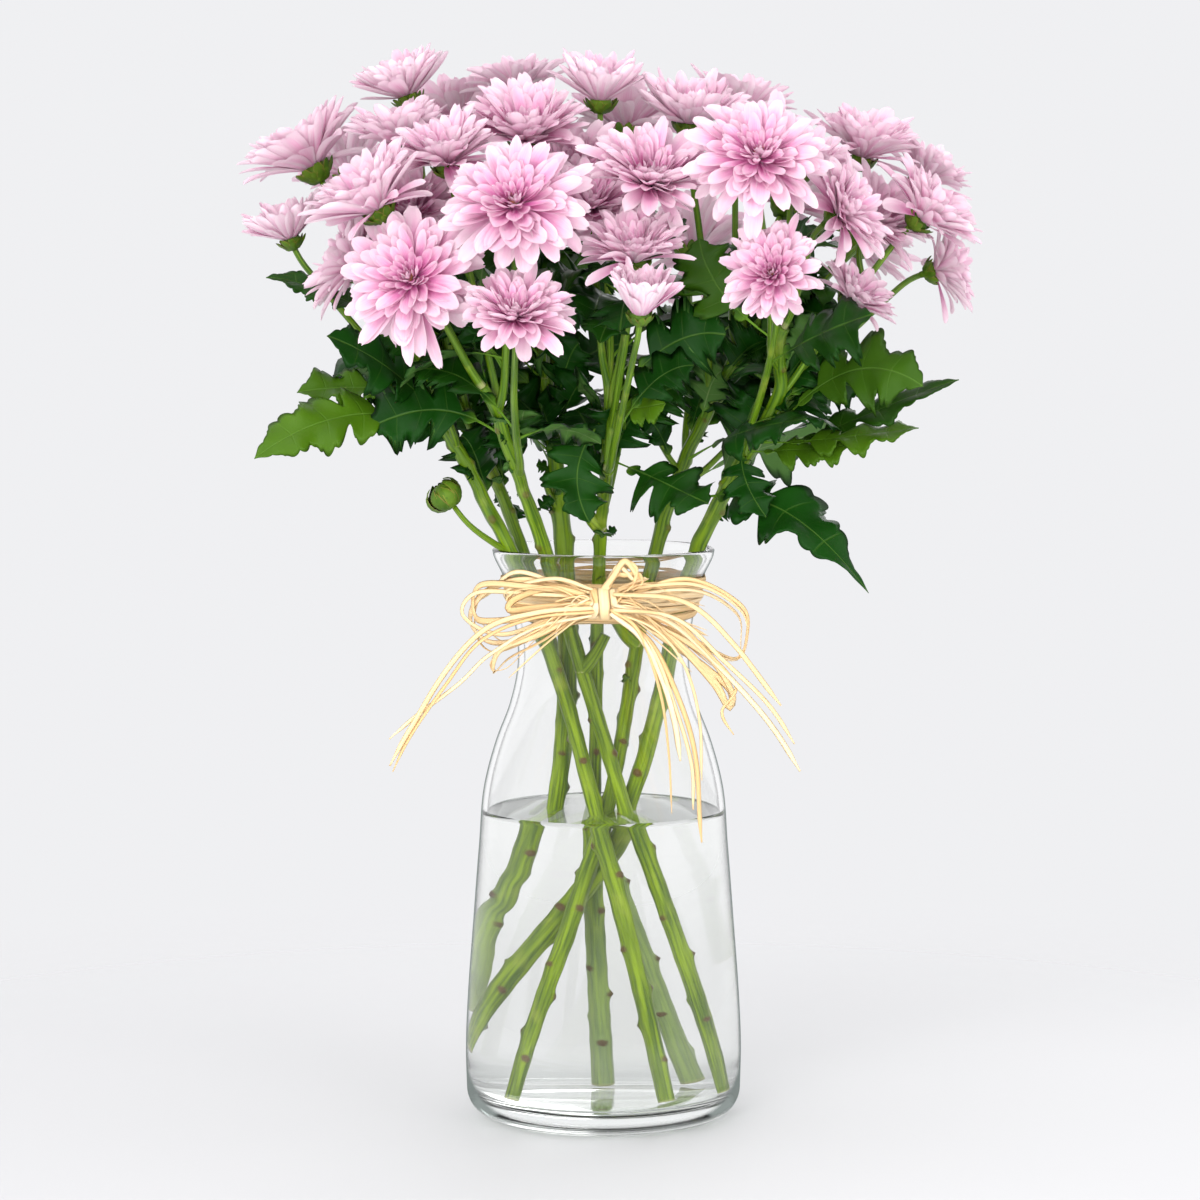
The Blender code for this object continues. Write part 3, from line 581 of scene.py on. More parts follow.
# %% The vase's profile
PUNT = 0.0014           # how far the middle of the foot is pushed up
DOME = 0.0006           # how far the middle of the floor is raised
LIP = wall / 2
WALL_STEPS, SPIN_STEPS = 110, 140
heel_radius = float(outer_radius(HEEL))
lip_centre = (float(outer_radius(vase_height - LIP)) - LIP, vase_height - LIP)
heights = np.linspace(HEEL, vase_height - LIP, WALL_STEPS)
outside = [(0.0, PUNT)] + [(foot_radius * s, PUNT * (1 - s**4)) for s in (0.3, 0.6, 0.8, 0.9, 0.96)]
outside += quarter((foot_radius, HEEL), (heel_radius - foot_radius, HEEL), -90, 14)
outside += [(float(outer_radius(z)), z) for z in heights[1:]]
outside += quarter(lip_centre, (LIP, LIP), 0, 6)[1:]

inner_start = FLOOR + INNER_HEEL
floor_edge = inner_radius(inner_start) - INNER_HEEL
inside = quarter(lip_centre, (LIP, LIP), 90, 6)[1:]
inside += [(inner_radius(z), z) for z in heights[::-1][1:] if z > inner_start]
inside += quarter((floor_edge, inner_start), (INNER_HEEL, INNER_HEEL), -90, 12)[::-1]
inside += [(floor_edge * s, FLOOR + DOME * (1 - s)) for s in (0.8, 0.5, 0.2, 0.0)]
glass_shape = spun(outside + inside, SPIN_STEPS)
print("points on the vase's profile:", len(outside) + len(inside))

# %% [markdown]
# The water fills the hollow up to its level. Its skin lies a hair inside the glass: if the
# two only touched, rays would find a film of air there and the stalks would look cut off.
# Surface tension pulls the water a little way up the glass all round.

# %% The water's profile
SINK = 0.0002           # how far the water's skin lies inside the glass
MENISCUS, MENISCUS_REACH = 0.0008, 0.0011
WATER_STEPS = 112
water_level = float(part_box("water")[1].z) - MENISCUS
water_top = water_level + MENISCUS
water_outline = [(0.0, FLOOR - SINK)] + [(floor_edge * s, FLOOR - SINK) for s in (0.3, 0.6, 0.9)]
water_outline += quarter((floor_edge, inner_start), (INNER_HEEL + SINK, INNER_HEEL + SINK), -90, 12)
water_outline += [(inner_radius(z) + SINK, z) for z in np.linspace(inner_start, water_top, 60)[1:]]
edge = inner_radius(water_top)
water_outline += [(edge - x, water_level + MENISCUS * math.exp(-x / MENISCUS_REACH))
                  for x in (0.0003, 0.0008, 0.0014, 0.0022, 0.0034, 0.005)]
water_outline += [((edge - 0.005) * s, water_level) for s in (0.9, 0.6, 0.3, 0.0)]
water_shape = spun(water_outline, WATER_STEPS)
print("water level:", round(water_level, 4))

# %% [markdown]
# Clear glass is a Principled shader with full transmission. One trick helps: a ray that
# only asks whether a lamp can be seen is let straight through with a slight tint, so the
# stalks inside are lit without waiting for rare bent paths to find the lamps. An upright
# wall seen edge-on looks darker, partly because we look through much more of it. A dark
# tinted film is mixed in there and round the heavy heel: painted shade, much darker than
# the glass's own colour would make it.

# %% Glass and water finishes
def clear_finish(name, index, tint, heel_tint, edge_tint, shadow):
    """A clear body: bent light for what we see, painted shade where we look along an upright wall
    or through the heavy heel, and straight light for its shadows."""
    bench = new_bench(name)
    place = bench.object_place()
    normal = bench.bumped(bench.noise(place, 26.0, 1.0), 0.0006, 0.10)
    flat = bench.node("VectorMath", {"operation": "MULTIPLY"}, {0: place, 1: (1.0, 1.0, 0.0)})
    heel = bench.fade(bench.axis(place, 2), 0.009, 0.024, 1.0, 0.0)
    heel = heel * bench.fade(bench.length(flat), 0.040, 0.050)
    body = bench.node("BsdfPrincipled", None, {
        "Base Color": bench.mixed(heel, tint, heel_tint) if heel_tint else tint,
        "Roughness": 0.0, "IOR": index, "Transmission Weight": 1.0, "Normal": normal})
    lying = abs(bench.axis(bench.node("NewGeometry", output=1), 2))
    edge_on = bench.node("LayerWeight", None, {"Blend": 0.5}, output=1)
    # painted shade: a dark film where a wall is seen edge-on and round the heel
    painted_film = bench.fade(edge_on + heel * 0.32, 0.76, 0.92) * bench.fade(lying, 0.45, 0.75, 1.0, 0.0)
    painted_edge_shade = bench.node("BsdfTransparent", None, {"Color": edge_tint})
    body = bench.node("MixShader", None, {0: painted_film, 1: body, 2: painted_edge_shade})
    straight = bench.node("BsdfTransparent", None, {"Color": shadow})
    is_shadow = bench.node("LightPath", output=1)
    return bench.finish(bench.node("MixShader", None, {0: is_shadow, 1: body, 2: straight}))


GLASS = clear_finish("clear_glass", 1.5, (0.994, 0.998, 0.993), (0.93, 0.95, 0.94),
                     (0.54, 0.575, 0.56), (0.95, 0.96, 0.955))
WATER = clear_finish("water", 1.33, (0.990, 0.996, 0.988), None, (0.90, 0.94, 0.90),
                     (0.975, 0.98, 0.975))
vase = make_piece("vase", glass_shape, [GLASS])
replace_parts(vase, "glass_vase")
water = make_piece("vase_water", water_shape, [WATER])
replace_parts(water, "water")

# %% [markdown]
# ### The tie round the neck
# The band is one long strand wound many times. Each turn is a closed ribbon that wanders a
# little up and down, and lies on the turns under it.

# %% Wind the band
TURNS, TURN_STEPS = 24, 110
BAND_SLACK = 0.0008         # how far a turn may leave the band's height
band_low, band_high = (corner.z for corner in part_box("raffia_band"))
rng = chance("band")
turns = []
for number in range(TURNS):
    angle = np.linspace(0, FULL_TURN, TURN_STEPS, endpoint=False)
    share = (number + 0.5) / TURNS
    height = band_low + (band_high - band_low) * (0.06 + 0.88 * share)
    for wave in (1, 2, 3):
        height = height + rng.normal() * 0.0019 / wave * np.sin(wave * angle + 6.3 * rng.random())
    height = np.clip(height, band_low - BAND_SLACK, band_high + BAND_SLACK)
    lift = 0.00045 + 0.0013 * rng.random() + 0.0004 * np.sin(2 * angle + 6.3 * rng.random())
    radius = outer_radius(height) + lift
    line = np.stack([radius * np.cos(angle), radius * np.sin(angle), height], 1)
    out = np.stack([np.cos(angle), np.sin(angle), np.full_like(angle, -0.2)], 1)
    turns.append(ribbon(line, rng.uniform(0.0013, 0.0034), out, rng.random(),
                        roll=(rng.uniform(-12, 12),) * 2, crease=0.07, closed=True))
band = make_piece("raffia_wrap", joined(turns), [RAFFIA])
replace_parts(band, "raffia_band")
print("turns of the band:", TURNS)

# %% [markdown]
# The bow is a bundle: several strands follow each loop, side by side, and a few short wraps
# pull them into a knot. Strands of one loop share its route but drift apart where it is
# widest, which is what makes raffia look loose and airy.

# %% Routes of the loops
LOOPS = {  # route, number of strands, how far they drift apart
    "left": (((-0.006, -0.0545, 0.2335), (-0.034, -0.052, 0.240), (-0.050, -0.042, 0.234),
              (-0.054, -0.035, 0.221), (-0.046, -0.039, 0.211), (-0.027, -0.050, 0.218),
              (-0.006, -0.0545, 0.227)), 3, 0.0042),
    "left_box": (((-0.006, -0.055, 0.2345), (-0.030, -0.057, 0.238), (-0.053, -0.044, 0.234),
                  (-0.056, -0.041, 0.226), (-0.043, -0.050, 0.2235), (-0.006, -0.057, 0.230)), 2, 0.0026),
    "left_low": (((-0.006, -0.0555, 0.2285), (-0.028, -0.059, 0.221), (-0.043, -0.0545, 0.211),
                  (-0.048, -0.050, 0.201), (-0.040, -0.054, 0.2055), (-0.024, -0.059, 0.218),
                  (-0.006, -0.0565, 0.2275)), 2, 0.0022),
    "right": (((0.006, -0.0545, 0.2335), (0.036, -0.053, 0.238), (0.056, -0.043, 0.229),
               (0.062, -0.037, 0.215), (0.056, -0.039, 0.206), (0.034, -0.050, 0.217),
               (0.006, -0.0545, 0.227)), 3, 0.0046),
    "right_low": (((0.006, -0.0555, 0.229), (0.026, -0.060, 0.218), (0.043, -0.057, 0.204),
                   (0.053, -0.053, 0.193), (0.0515, -0.053, 0.185), (0.046, -0.055, 0.197),
                   (0.028, -0.060, 0.215), (0.006, -0.057, 0.227)), 2, 0.002),
    "left_small": (((-0.005, -0.056, 0.233), (-0.022, -0.058, 0.2385), (-0.037, -0.054, 0.236),
                    (-0.041, -0.052, 0.229), (-0.030, -0.056, 0.227), (-0.005, -0.0575, 0.229)), 4, 0.003),
    "up": (((0.0005, -0.056, 0.235), (0.003, -0.0555, 0.2415), (0.008, -0.055, 0.2445),
            (0.014, -0.055, 0.2425), (0.016, -0.056, 0.238), (0.010, -0.057, 0.2345)), 4, 0.0012),
}
print("loops:", len(LOOPS))

# %% [markdown]
# Each strand of a loop gets a route of its own: the loop is stretched or shrunk about its
# middle, most where it is farthest from the knot, and every point of it wanders a little.

# %% Lay the strands of the loops
strands = []
rng = chance("bow")
for route, count, drift in LOOPS.values():
    middle = np.mean(route, axis=0)
    for number in range(count):
        grow = 1 + rng.normal() * drift * 16
        shift = rng.normal(size=3) * drift * np.array([0.25, 0.25, 0.5])
        wide = [middle + (np.array(p) - middle) * (1 + (grow - 1) * w) + shift * w
                for p, w in zip(route, np.sin(np.linspace(0, math.pi, len(route))))]
        wide = [p + rng.normal(size=3) * (0.0016, 0.0006, 0.0018) for p in wide]
        strands.append(ribbon(smooth_route(wide, 70), rng.uniform(0.0012, 0.0031), (0.05, -1.0, 0.25),
                              rng.random(), roll=(rng.uniform(-20, 20), rng.uniform(-90, 90)),
                              ends=(0.8, 0.8)))
print("strands in the loops:", len(strands))

# %% [markdown]
# The knot is wrapped from side to side by a few wide strands, each a closed ring that leans
# a little. Raffia splits easily, so short frayed ends and fine wisps stick out all round it.
# One joined mesh holds the whole bow, because no strand of it moves alone.

# %% Wrap the knot and let it fray
KNOT_FRONT, KNOT_HEIGHT = -0.0575, 0.2300
KNOT_HALF_WIDTH, KNOT_HALF_HEIGHT, KNOT_DEPTH = 0.0065, 0.0068, 0.0050
WRAPS, WRAP_STEPS, WISPS, WISP_STEPS = 9, 40, 44, 16
for number in range(WRAPS):
    angle = np.linspace(0, FULL_TURN, WRAP_STEPS, endpoint=False)
    tilt = rng.uniform(-0.5, 0.5)
    across = rng.uniform(-KNOT_HALF_WIDTH, KNOT_HALF_WIDTH)
    size = rng.uniform(0.88, 1.0)
    depth = KNOT_FRONT + 0.0045 + KNOT_DEPTH * size * np.cos(angle) - 0.0002 * number
    line = np.stack([across + tilt * KNOT_HALF_WIDTH * np.sin(angle), depth,
                     KNOT_HEIGHT + KNOT_HALF_HEIGHT * size * np.sin(angle)], 1)
    out = np.stack([np.zeros(WRAP_STEPS), np.cos(angle), np.sin(angle)], 1)
    strands.append(ribbon(line, rng.uniform(0.0032, 0.0052), out, rng.random(), crease=0.08, closed=True))
for number in range(WISPS):
    side = rng.choice([-1, 1, 1])
    start = np.array([side * 0.004, KNOT_FRONT + 0.001, KNOT_HEIGHT + rng.uniform(-0.004, 0.004)])
    reach = rng.uniform(0.010, 0.042)
    end = start + np.array([side * reach, rng.uniform(-0.006, 0.002), rng.uniform(-0.9, 0.25) * reach])
    middle = (start + end) / 2 + np.array([0, -0.002, rng.uniform(0, 0.006)])
    line = smooth_route((start, middle, end), WISP_STEPS)
    strands.append(ribbon(line, rng.uniform(0.0005, 0.0013), (0, -1, 0.3), rng.random(),
                          roll=(0, rng.uniform(-90, 90)), ends=(0.9, 0.1)))
bow = make_piece("raffia_knot_and_loops", joined(strands), [RAFFIA])
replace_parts(bow, "raffia_bow")
print("strands in the bow:", len(strands))

# %% [markdown]
# ## Stalks and flower stems
# The CAD's stems are faceted tubes joined into one solid for each stalk. Their centre
# lines are found again by cutting the solid with a plane, taking the middle of the cut,
# and stepping on. A flower stem is followed down from the seat of its head until it runs
# into the stalk, and the stalk is followed up from its cut foot.

# %% Follow a stem through its solid
def edges_of(name):
    """The edges of a CAD node as pairs of point numbers."""
    mesh = nodes[name].data
    pairs = np.zeros(len(mesh.edges) * 2, int)
    mesh.edges.foreach_get("vertices", pairs)
    return pairs.reshape(-1, 2)


def cut(spots, pairs, place, ahead, reach):
    """The points where a plane cuts the edges near a place."""
    depth = (spots - place) @ ahead
    a, b = pairs[(depth[pairs[:, 0]] * depth[pairs[:, 1]]) < 0].T
    found = spots[a] + (depth[a] / (depth[a] - depth[b]))[:, None] * (spots[b] - spots[a])
    return found[np.linalg.norm(found - place, axis=1) < reach]


def follow(spots, pairs, place, ahead, radius, step, least, most=1.35, limit=260):
    """Centre line and radii from a place on, until the stem ends, merges or grows too thin.
    With most=None the way goes on past the side branches of a stalk."""
    line, radii = [np.array(place, float)], [radius]
    for _ in range(limit):
        guess = line[-1] + ahead * step
        found = cut(spots, pairs, guess, ahead, radius * 2 + 0.0003)
        if len(found) < 5:
            break
        middle = found.mean(0)
        size = np.linalg.norm(found - middle, axis=1).mean()
        if most and size > radius * most:
            break
        if not most:
            aside = np.linalg.norm(middle - guess)
            middle = guess + (middle - guess) * min(1, 0.3 * radius / max(1e-9, aside))
            size = min(size, radius * 1.01)
        if size < least:
            break
        ahead = unit(0.6 * ahead + 0.4 * unit(middle - line[-1]))
        radius = 0.8 * radius + 0.2 * size
        line.append(middle)
        radii.append(size)
    return np.array(line), np.array(radii), ahead


print("edges on the first stalk's solid:", len(edges_of("stem_1")))

# %% [markdown]
# A head's solid stands on its stem with one flat face: many small triangles that share a
# plane. The largest such group is the seat. Its middle is where the bloom will sit, and its
# normal, turned round, is the way the bloom faces.

# %% Read a flower head's seat, direction and size
SEAT_FACES, BUD_SEAT_FACES = 9, 6       # a flat with fewer faces is not the seat


def seat_of(name):
    """The middle of the flat under a head, the way it faces, its radius and its tip's height."""
    groups = {}
    for face in nodes[name].data.polygons:
        n = face.normal
        key = (round(n.x, 2), round(n.y, 2), round(n.z, 2), round(n.dot(face.center), 4))
        groups.setdefault(key, []).append(face)
    least = BUD_SEAT_FACES if name == "flower_bud" else SEAT_FACES
    seat = max((g for g in groups.values() if len(g) >= least), key=lambda g: sum(f.area for f in g))
    area = sum(f.area for f in seat)
    middle = sum((np.array(f.center) * f.area for f in seat), np.zeros(3)) / area
    facing = -unit(sum((np.array(f.normal) * f.area for f in seat), np.zeros(3)))
    spots = points_of(name)
    height = (spots - middle) @ facing
    radius = np.linalg.norm(spots - middle - height[:, None] * facing, axis=1)
    tip = float(height[radius > 0.97 * radius.max()].mean())
    return middle, facing, float(radius.max()), tip


heads = {name: seat_of(name) for name in sorted(nodes) if name.startswith("flower_")}
print("flower heads:", len(heads), "largest radius", round(max(h[2] for h in heads.values()), 4))

# %% [markdown]
# A stalk is followed both ways from a place just above its cut foot. Where a side shoot
# joins, the cut is wider and its middle jumps aside, so a smooth curve is laid through the
# line and the rings that stray from it are left out. Water in a round vase works like a
# lens: it widens what stands behind it, and slimmer stalks there look right again.

# %% Follow a stalk
SLIMMER = {"stem_5": 0.95, "stem_6": 0.72, "stem_7": 0.80}    # stalks at the back; others 1
FOOT_REACH, STRAY = 0.012, 0.0011       # metres round the foot, and off the smooth curve


def middle_of_stalk(name, spots, pairs):
    """The centre line and the radii of a stalk, from its foot to its top."""
    foot = spots[spots[:, 2] < spots[:, 2].min() + 0.002].mean(0)
    ahead, place = np.array([0, 0, 1.0]), foot + (0, 0, 0.008)
    for _ in range(3):                    # settle on the stalk's own direction near its foot
        place = cut(spots, pairs, place, ahead, FOOT_REACH).mean(0)
        upper = cut(spots, pairs, place + ahead * 0.010, ahead, FOOT_REACH).mean(0)
        ahead = unit(upper - place)
    radius = np.linalg.norm(cut(spots, pairs, place, ahead, FOOT_REACH) - place, axis=1).mean()
    up, radii_up, _ = follow(spots, pairs, place, ahead, radius, 0.0025, 0.00195, most=None)
    down, radii_down, _ = follow(spots, pairs, place, -ahead, radius, 0.0008, 0.0, most=1.5, limit=30)
    line = np.vstack([down[:0:-1], up])
    radii = np.concatenate([radii_down[:0:-1], radii_up])
    at = np.linspace(-1, 1, len(line))
    keep = np.ones(len(line), bool)
    for _ in range(3):
        curve = np.stack([np.polyval(np.polyfit(at[keep], line[keep, k], 9), at) for k in range(3)], 1)
        keep = np.linalg.norm(line - curve, axis=1) < STRAY
    keep[[0, -1]] = True
    line = np.stack([np.interp(at, at[keep], line[keep, k]) for k in range(3)], 1)
    height = line[:, 2]
    stronger = SLIMMER.get(name, 1.0) + 0.20 * ease(height, 0.14, 0.25) - 0.24 * ease(height, 0.27, 0.34)
    radii = np.interp(at, at[keep], radii[keep]) * stronger
    if line[0, 1] > 0.005:                # a stalk at the back, which the water widens
        line[:, 0] *= 1 - 0.13 * (1 - ease(height, 0.02, 0.13))
    return line, radii


# %% [markdown]
# A flower stem is followed from the seat of its head down to where it comes close to the
# stalk, and one more point inside the stalk joins the two. The bud's stem is too short and
# bent for that, so it is drawn as a curve of its own that lets the bud nod.

# %% Follow all stalks and flower stems
SEAT_REACH, JOIN_REACH = 0.0031, 0.0036     # metres: closer than this, things belong together
BUD_JOINT_HEIGHT, BUD_STEM_POINTS = 0.2465, 16


def middle_of_flower_stem(spots, pairs, line, seat, facing):
    """The centre line and radii of a flower stem, from its head to the stalk's line."""
    run, sizes, ahead = follow(spots, pairs, seat - facing * 0.0004, -facing, 0.0013, 0.0025, 0.0)
    near = np.linalg.norm(line[:, None] - run[None], axis=2).min(0) < JOIN_REACH
    end = max(4, int(np.argmax(near))) if near.any() else len(run)
    foot = line[np.linalg.norm(line - (run[end - 1] + ahead * 0.006), axis=1).argmin()]
    return np.vstack([run[:end], foot]), np.append(sizes[:end], sizes[end - 1])


stalks, stems = {}, {}
for name in sorted(n for n in nodes if n.startswith("stem_")):
    spots, pairs = points_of(name), edges_of(name)
    line, radii = middle_of_stalk(name, spots, pairs)
    stalks[name] = (line, radii)
    for head, (seat, facing, _, _) in heads.items():
        if np.linalg.norm(spots - seat, axis=1).min() < SEAT_REACH:
            stems[head] = (*middle_of_flower_stem(spots, pairs, line, seat, facing), name)
    if "flower_bud" in stems and stems["flower_bud"][2] == name:
        seat, joint = heads["flower_bud"][0], line[np.abs(line[:, 2] - BUD_JOINT_HEIGHT).argmin()]
        bend = (seat + joint) / 2 + (0.001, -0.001, -0.003)
        run = smooth_route((seat, seat + (0.0055, 0.001, -0.0075), bend, joint), BUD_STEM_POINTS)
        stems["flower_bud"] = (run, np.linspace(0.0011, 0.0016, BUD_STEM_POINTS), name)
    print(name, "stalk", len(line), "rings, radius", round(float(radii[2]), 4), "to",
          round(float(radii[-1]), 4), "with", sum(s[2] == name for s in stems.values()), "flower stems")

# %% [markdown]
# A chrysanthemum stalk is ribbed, a little knobbly where leaves were stripped off, and
# brown at each scar. The tube below has a ring of points every millimetre or two. Ribs,
# knobs and scars are all small changes of the rings' radius, and the scars' strength is
# kept as a value for the colour.

# %% Scars on the skin of a stem
def scarred(rings, rng, at, turn, scars):
    """A stem's rings with swollen joints and leaf scars on them, and the scars alone."""
    mark = np.zeros(rings.shape)
    place, angle = rng.uniform(0.012, 0.022), rng.uniform(0, 6.28)
    while scars and place < at[-1] - 0.01:
        far = at[:, None] - place
        away = np.abs((turn[None] - angle + math.pi) % FULL_TURN - math.pi)
        rings = rings + 0.05 * np.exp(-(far / 0.0035)**2) * np.ones(len(turn))
        scar = rng.uniform(0.75, 1.2) * np.exp(-(far / rng.uniform(0.0012, 0.0019))**2 - (away / 0.50)**2)
        rings = rings + 0.42 * scar + 0.12 * np.exp(-((far + 0.0022) / 0.0028)**2 - (away / 0.6)**2)
        mark = np.maximum(mark, scar)
        place, angle = place + rng.uniform(0.010, 0.019), angle + 2.4 + rng.uniform(-0.5, 0.5)
    return rings, mark


# %% [markdown]
# The tube itself follows the centre line, smoothed a little. Each end is closed by one
# point in the middle. The values on its points tell the finish how far along and around a
# point lies, whether it is on a scar, and whether it is on the pale cut at the foot.

# %% Draw a stem
STEM_SIDES, THIN_SIDES = 16, 10
STALK_RIBS, THIN_RIBS = 0.035, 0.03
RIB_TWIST = 6.0             # radians in a metre


def stem_tube(line, radii, rng, step, sides=THIN_SIDES, ribs=THIN_RIBS, scars=False):
    """A living stem along a line: ribs, swellings at the joints and leaf scars."""
    count = max(8, int(length_of(line) / step))
    run = run_along(line)
    at = np.linspace(0, run[-1], count)
    size = np.interp(at, run, radii)
    size = np.convolve(np.pad(size, 4, mode="edge"), np.ones(9) / 9, "valid")
    middle = resampled(line, count)
    for _ in range(3):
        middle[1:-1] = 0.25 * middle[:-2] + 0.5 * middle[1:-1] + 0.25 * middle[2:]
    _, side, over = frames_along(middle, (0.3, 1.0, 0.05))
    turn = np.linspace(0, FULL_TURN, sides, endpoint=False)
    twist = at[:, None] * RIB_TWIST
    rings = 1 + ribs * np.cos(5 * (turn[None] + twist)) + 0.5 * ribs * np.cos(3 * (turn[None] - twist) + 1)
    rings, mark = scarred(rings, rng, at, turn, scars)
    around = np.cos(turn)[None, :, None] * side[:, None] + np.sin(turn)[None, :, None] * over[:, None]
    spots = middle[:, None] + around * (size[:, None] * rings)[..., None]
    n = count * sides
    cut_end = np.concatenate([np.zeros(n), [1.0, 0.0]])
    cut_end[:sides] = 0.75
    values = {"along": np.append(np.repeat(at, sides), [0, run[-1]]),
              "around": np.append(np.tile(turn / FULL_TURN, count), [0, 0]),
              "scar": np.append(mark.ravel(), [0, 0]), "cut": cut_end,
              "tone": np.full(n + 2, rng.random())}
    return np.vstack([spots.reshape(-1, 3), middle[0], middle[-1]]), tube_faces(count, sides), values


trial = stem_tube(np.array([(0, 0, 0), (0, 0, 0.1)]), np.full(2, 0.004), chance("stalk"), 0.002)
print("a ten centimetre stem has", len(trial[0]), "points")

# %% [markdown]
# The skin is fresh green with darker and lighter streaks that run with the ribs. Under water
# it looks more yellow. Scars and blotches turn brown, most of all in the vase. Over the stalks
# at the back of the water a pale grey veil is painted: painted light that stands in for the
# haze that the water and glass lay in front of them.

# %% The stems' finish
def stem_finish():
    """Fresh green with long streaks, brown scars, a pale cut and a painted pale veil at the back."""
    bench = new_bench("stem")
    along, around, scar, cut_end, tone = (bench.value(k) for k in ("along", "around", "scar", "cut", "tone"))
    place = bench.object_place()
    depth, height = bench.axis(place, 1), bench.axis(place, 2)
    streaks = bench.noise(bench.place(around * 14.0, along * 30.0, tone * 20.0), 1.3, 3.0)
    blotches = bench.noise(place, 70.0, 3.0)
    streaks = bench.fade(streaks, 0.30, 0.70)
    fresh = bench.mixed(streaks, (0.055, 0.110, 0.001), (0.225, 0.330, 0.002))
    upper = bench.mixed(streaks, (0.036, 0.100, 0.002), (0.120, 0.225, 0.006))
    colour = bench.mixed(bench.fade(height, 0.15, 0.33), fresh, upper)
    colour = bench.mixed(bench.fade(blotches, 0.56, 0.78, 0.0, 0.55), colour, (0.32, 0.38, 0.05))
    # painted light: a pale grey veil on the stalks at the back of the water, for the haze in front of them
    painted_film = bench.fade(depth, 0.002, 0.024) * bench.fade(height, 0.122, 0.136, 1.0, 0.0)
    colour = bench.mixed(painted_film * 0.50, colour, (0.33, 0.42, 0.22))
    brown = bench.fade(scar + (blotches - 0.5) * 0.6, 0.16, 0.62)
    colour = bench.mixed(brown * bench.fade(height, 0.16, 0.25, 0.94, 0.55), colour, (0.095, 0.045, 0.014))
    colour = bench.mixed(cut_end, colour, (0.62, 0.60, 0.30))
    normal = bench.bumped(streaks + blotches * 0.6, 0.0005, 0.5)
    return bench.finish(bench.node("BsdfPrincipled", None, {
        "Base Color": colour, "Roughness": 0.36, "Normal": normal, "Specular IOR Level": 0.5}))


STEM = stem_finish()

# %% [markdown]
# ### Stalks with all that grows on them
# A florist strips the lower side shoots, which leaves short stumps and a few thin bare
# shoots among the leaves. Each is given by where it starts and ends as seen from the front,
# and it grows from the stalk that passes nearest. A stalk, its stumps and its flower stems
# are joined into one piece, because they are one living plant.

# %% Stumps and thin shoots
def passing(x, z):
    """The stalk that passes nearest to a place seen from the front."""
    return min(stalks, key=lambda n: np.hypot(stalks[n][0][:, 0] - x, stalks[n][0][:, 2] - z).min())


STUMPS = [(passing(*low), low, tip, thick) for low, tip, thick in (
    ((-0.008, 0.198), (-0.014, 0.217), 0.0034), ((-0.007, 0.199), (0.001, 0.213), 0.0034),
    ((0.014, 0.206), (0.005, 0.218), 0.0034), ((-0.003, 0.258), (-0.010, 0.272), 0.0034),
    ((-0.003, 0.262), (0.008, 0.300), 0.0017), ((0.034, 0.270), (0.0575, 0.296), 0.0017),
    ((0.030, 0.282), (0.019, 0.306), 0.0015), ((-0.044, 0.268), (-0.064, 0.314), 0.0018),
    ((-0.016, 0.264), (-0.026, 0.280), 0.0019), ((-0.032, 0.276), (-0.039, 0.306), 0.0015))]
SUNKEN_OWNER, SUNKEN_HEIGHT = "stem_5", 0.066       # one more stump, under water
print("stumps on", [owner for owner, _, _, _ in STUMPS])

# %% [markdown]
# Each stalk is drawn first, then its stumps and shoots, then its flower stems from the foot
# up, so that streaks and scars run the right way.

# %% Grow the stems
STALK_STEP, STUMP_STEP, FLOWER_STEM_STEP = 0.0013, 0.0012, 0.0030      # metres between rings
STUMP_TAPER = 0.67


def stump(route, count, thick, thin, rng):
    """A short tapered shoot along a few points."""
    return stem_tube(smooth_route(route, count), np.linspace(thick, thin, count), rng, STUMP_STEP)


every_run = np.vstack([line for line, _ in stalks.values()] + [run for run, _, _ in stems.values()])
for number, (name, (line, radii)) in enumerate(stalks.items()):
    rng = chance("stalk", number)
    parts = [stem_tube(line, radii, rng, STALK_STEP, STEM_SIDES, STALK_RIBS, True)]
    for owner, (x, z), (to_x, to_z), thick in STUMPS:
        if owner == name:
            root = line[np.hypot(line[:, 0] - x, line[:, 2] - z).argmin()]
            tip = np.array([to_x, root[1] - 0.003, to_z])
            bend = 0.5 * (root + tip) + (0, -0.001, -0.0015)
            parts.append(stump([root, bend, tip], 12, thick, thick * STUMP_TAPER, rng))
    if name == SUNKEN_OWNER:
        root = line[np.abs(line[:, 2] - SUNKEN_HEIGHT).argmin()]
        route = [root, root + (-0.0050, 0.0005, 0.0050), root + (-0.0085, 0.001, 0.012)]
        parts.append(stump(route, 9, 0.0034, 0.0014, rng))
    for run, sizes, owner in stems.values():
        if owner == name:
            parts.append(stem_tube(run[::-1], sizes[::-1], rng, FLOWER_STEM_STEP))
    stalk = make_piece("stalk_" + name[-1], joined(parts), [STEM])
    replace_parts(stalk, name)
    print("stalk_" + name[-1], "has", len(parts) - 1, "stumps, shoots and flower stems")

# %% [markdown]
# ## Curved sheets
# A chrysanthemum's petals, the bracts of its calyx and the scales of its bud are one idea:
# a narrow sheet that leaves the stem's axis at some angle, curves up or down as it grows
# longer, and is hollow like a spoon. One function draws a whole ring of them at once. Each
# sheet has an upper and a lower skin that meet along its border, so it has thickness, as a
# real petal has. The skins don't share their border points: shading would round the thin
# edge and draw a dark line along it.

# %% A petal's outline
def petal_outline(t, neck, belly, blunt):
    """The half width of a petal along its length, from 0 to 1."""
    rise = neck + (1 - neck) * np.sin(np.pi / 2 * np.clip(t / belly, 0, 1))**1.2
    return rise * (1 - np.clip((t - belly) / (1 - belly), 0, 1)**2.2)**(1 / blunt)


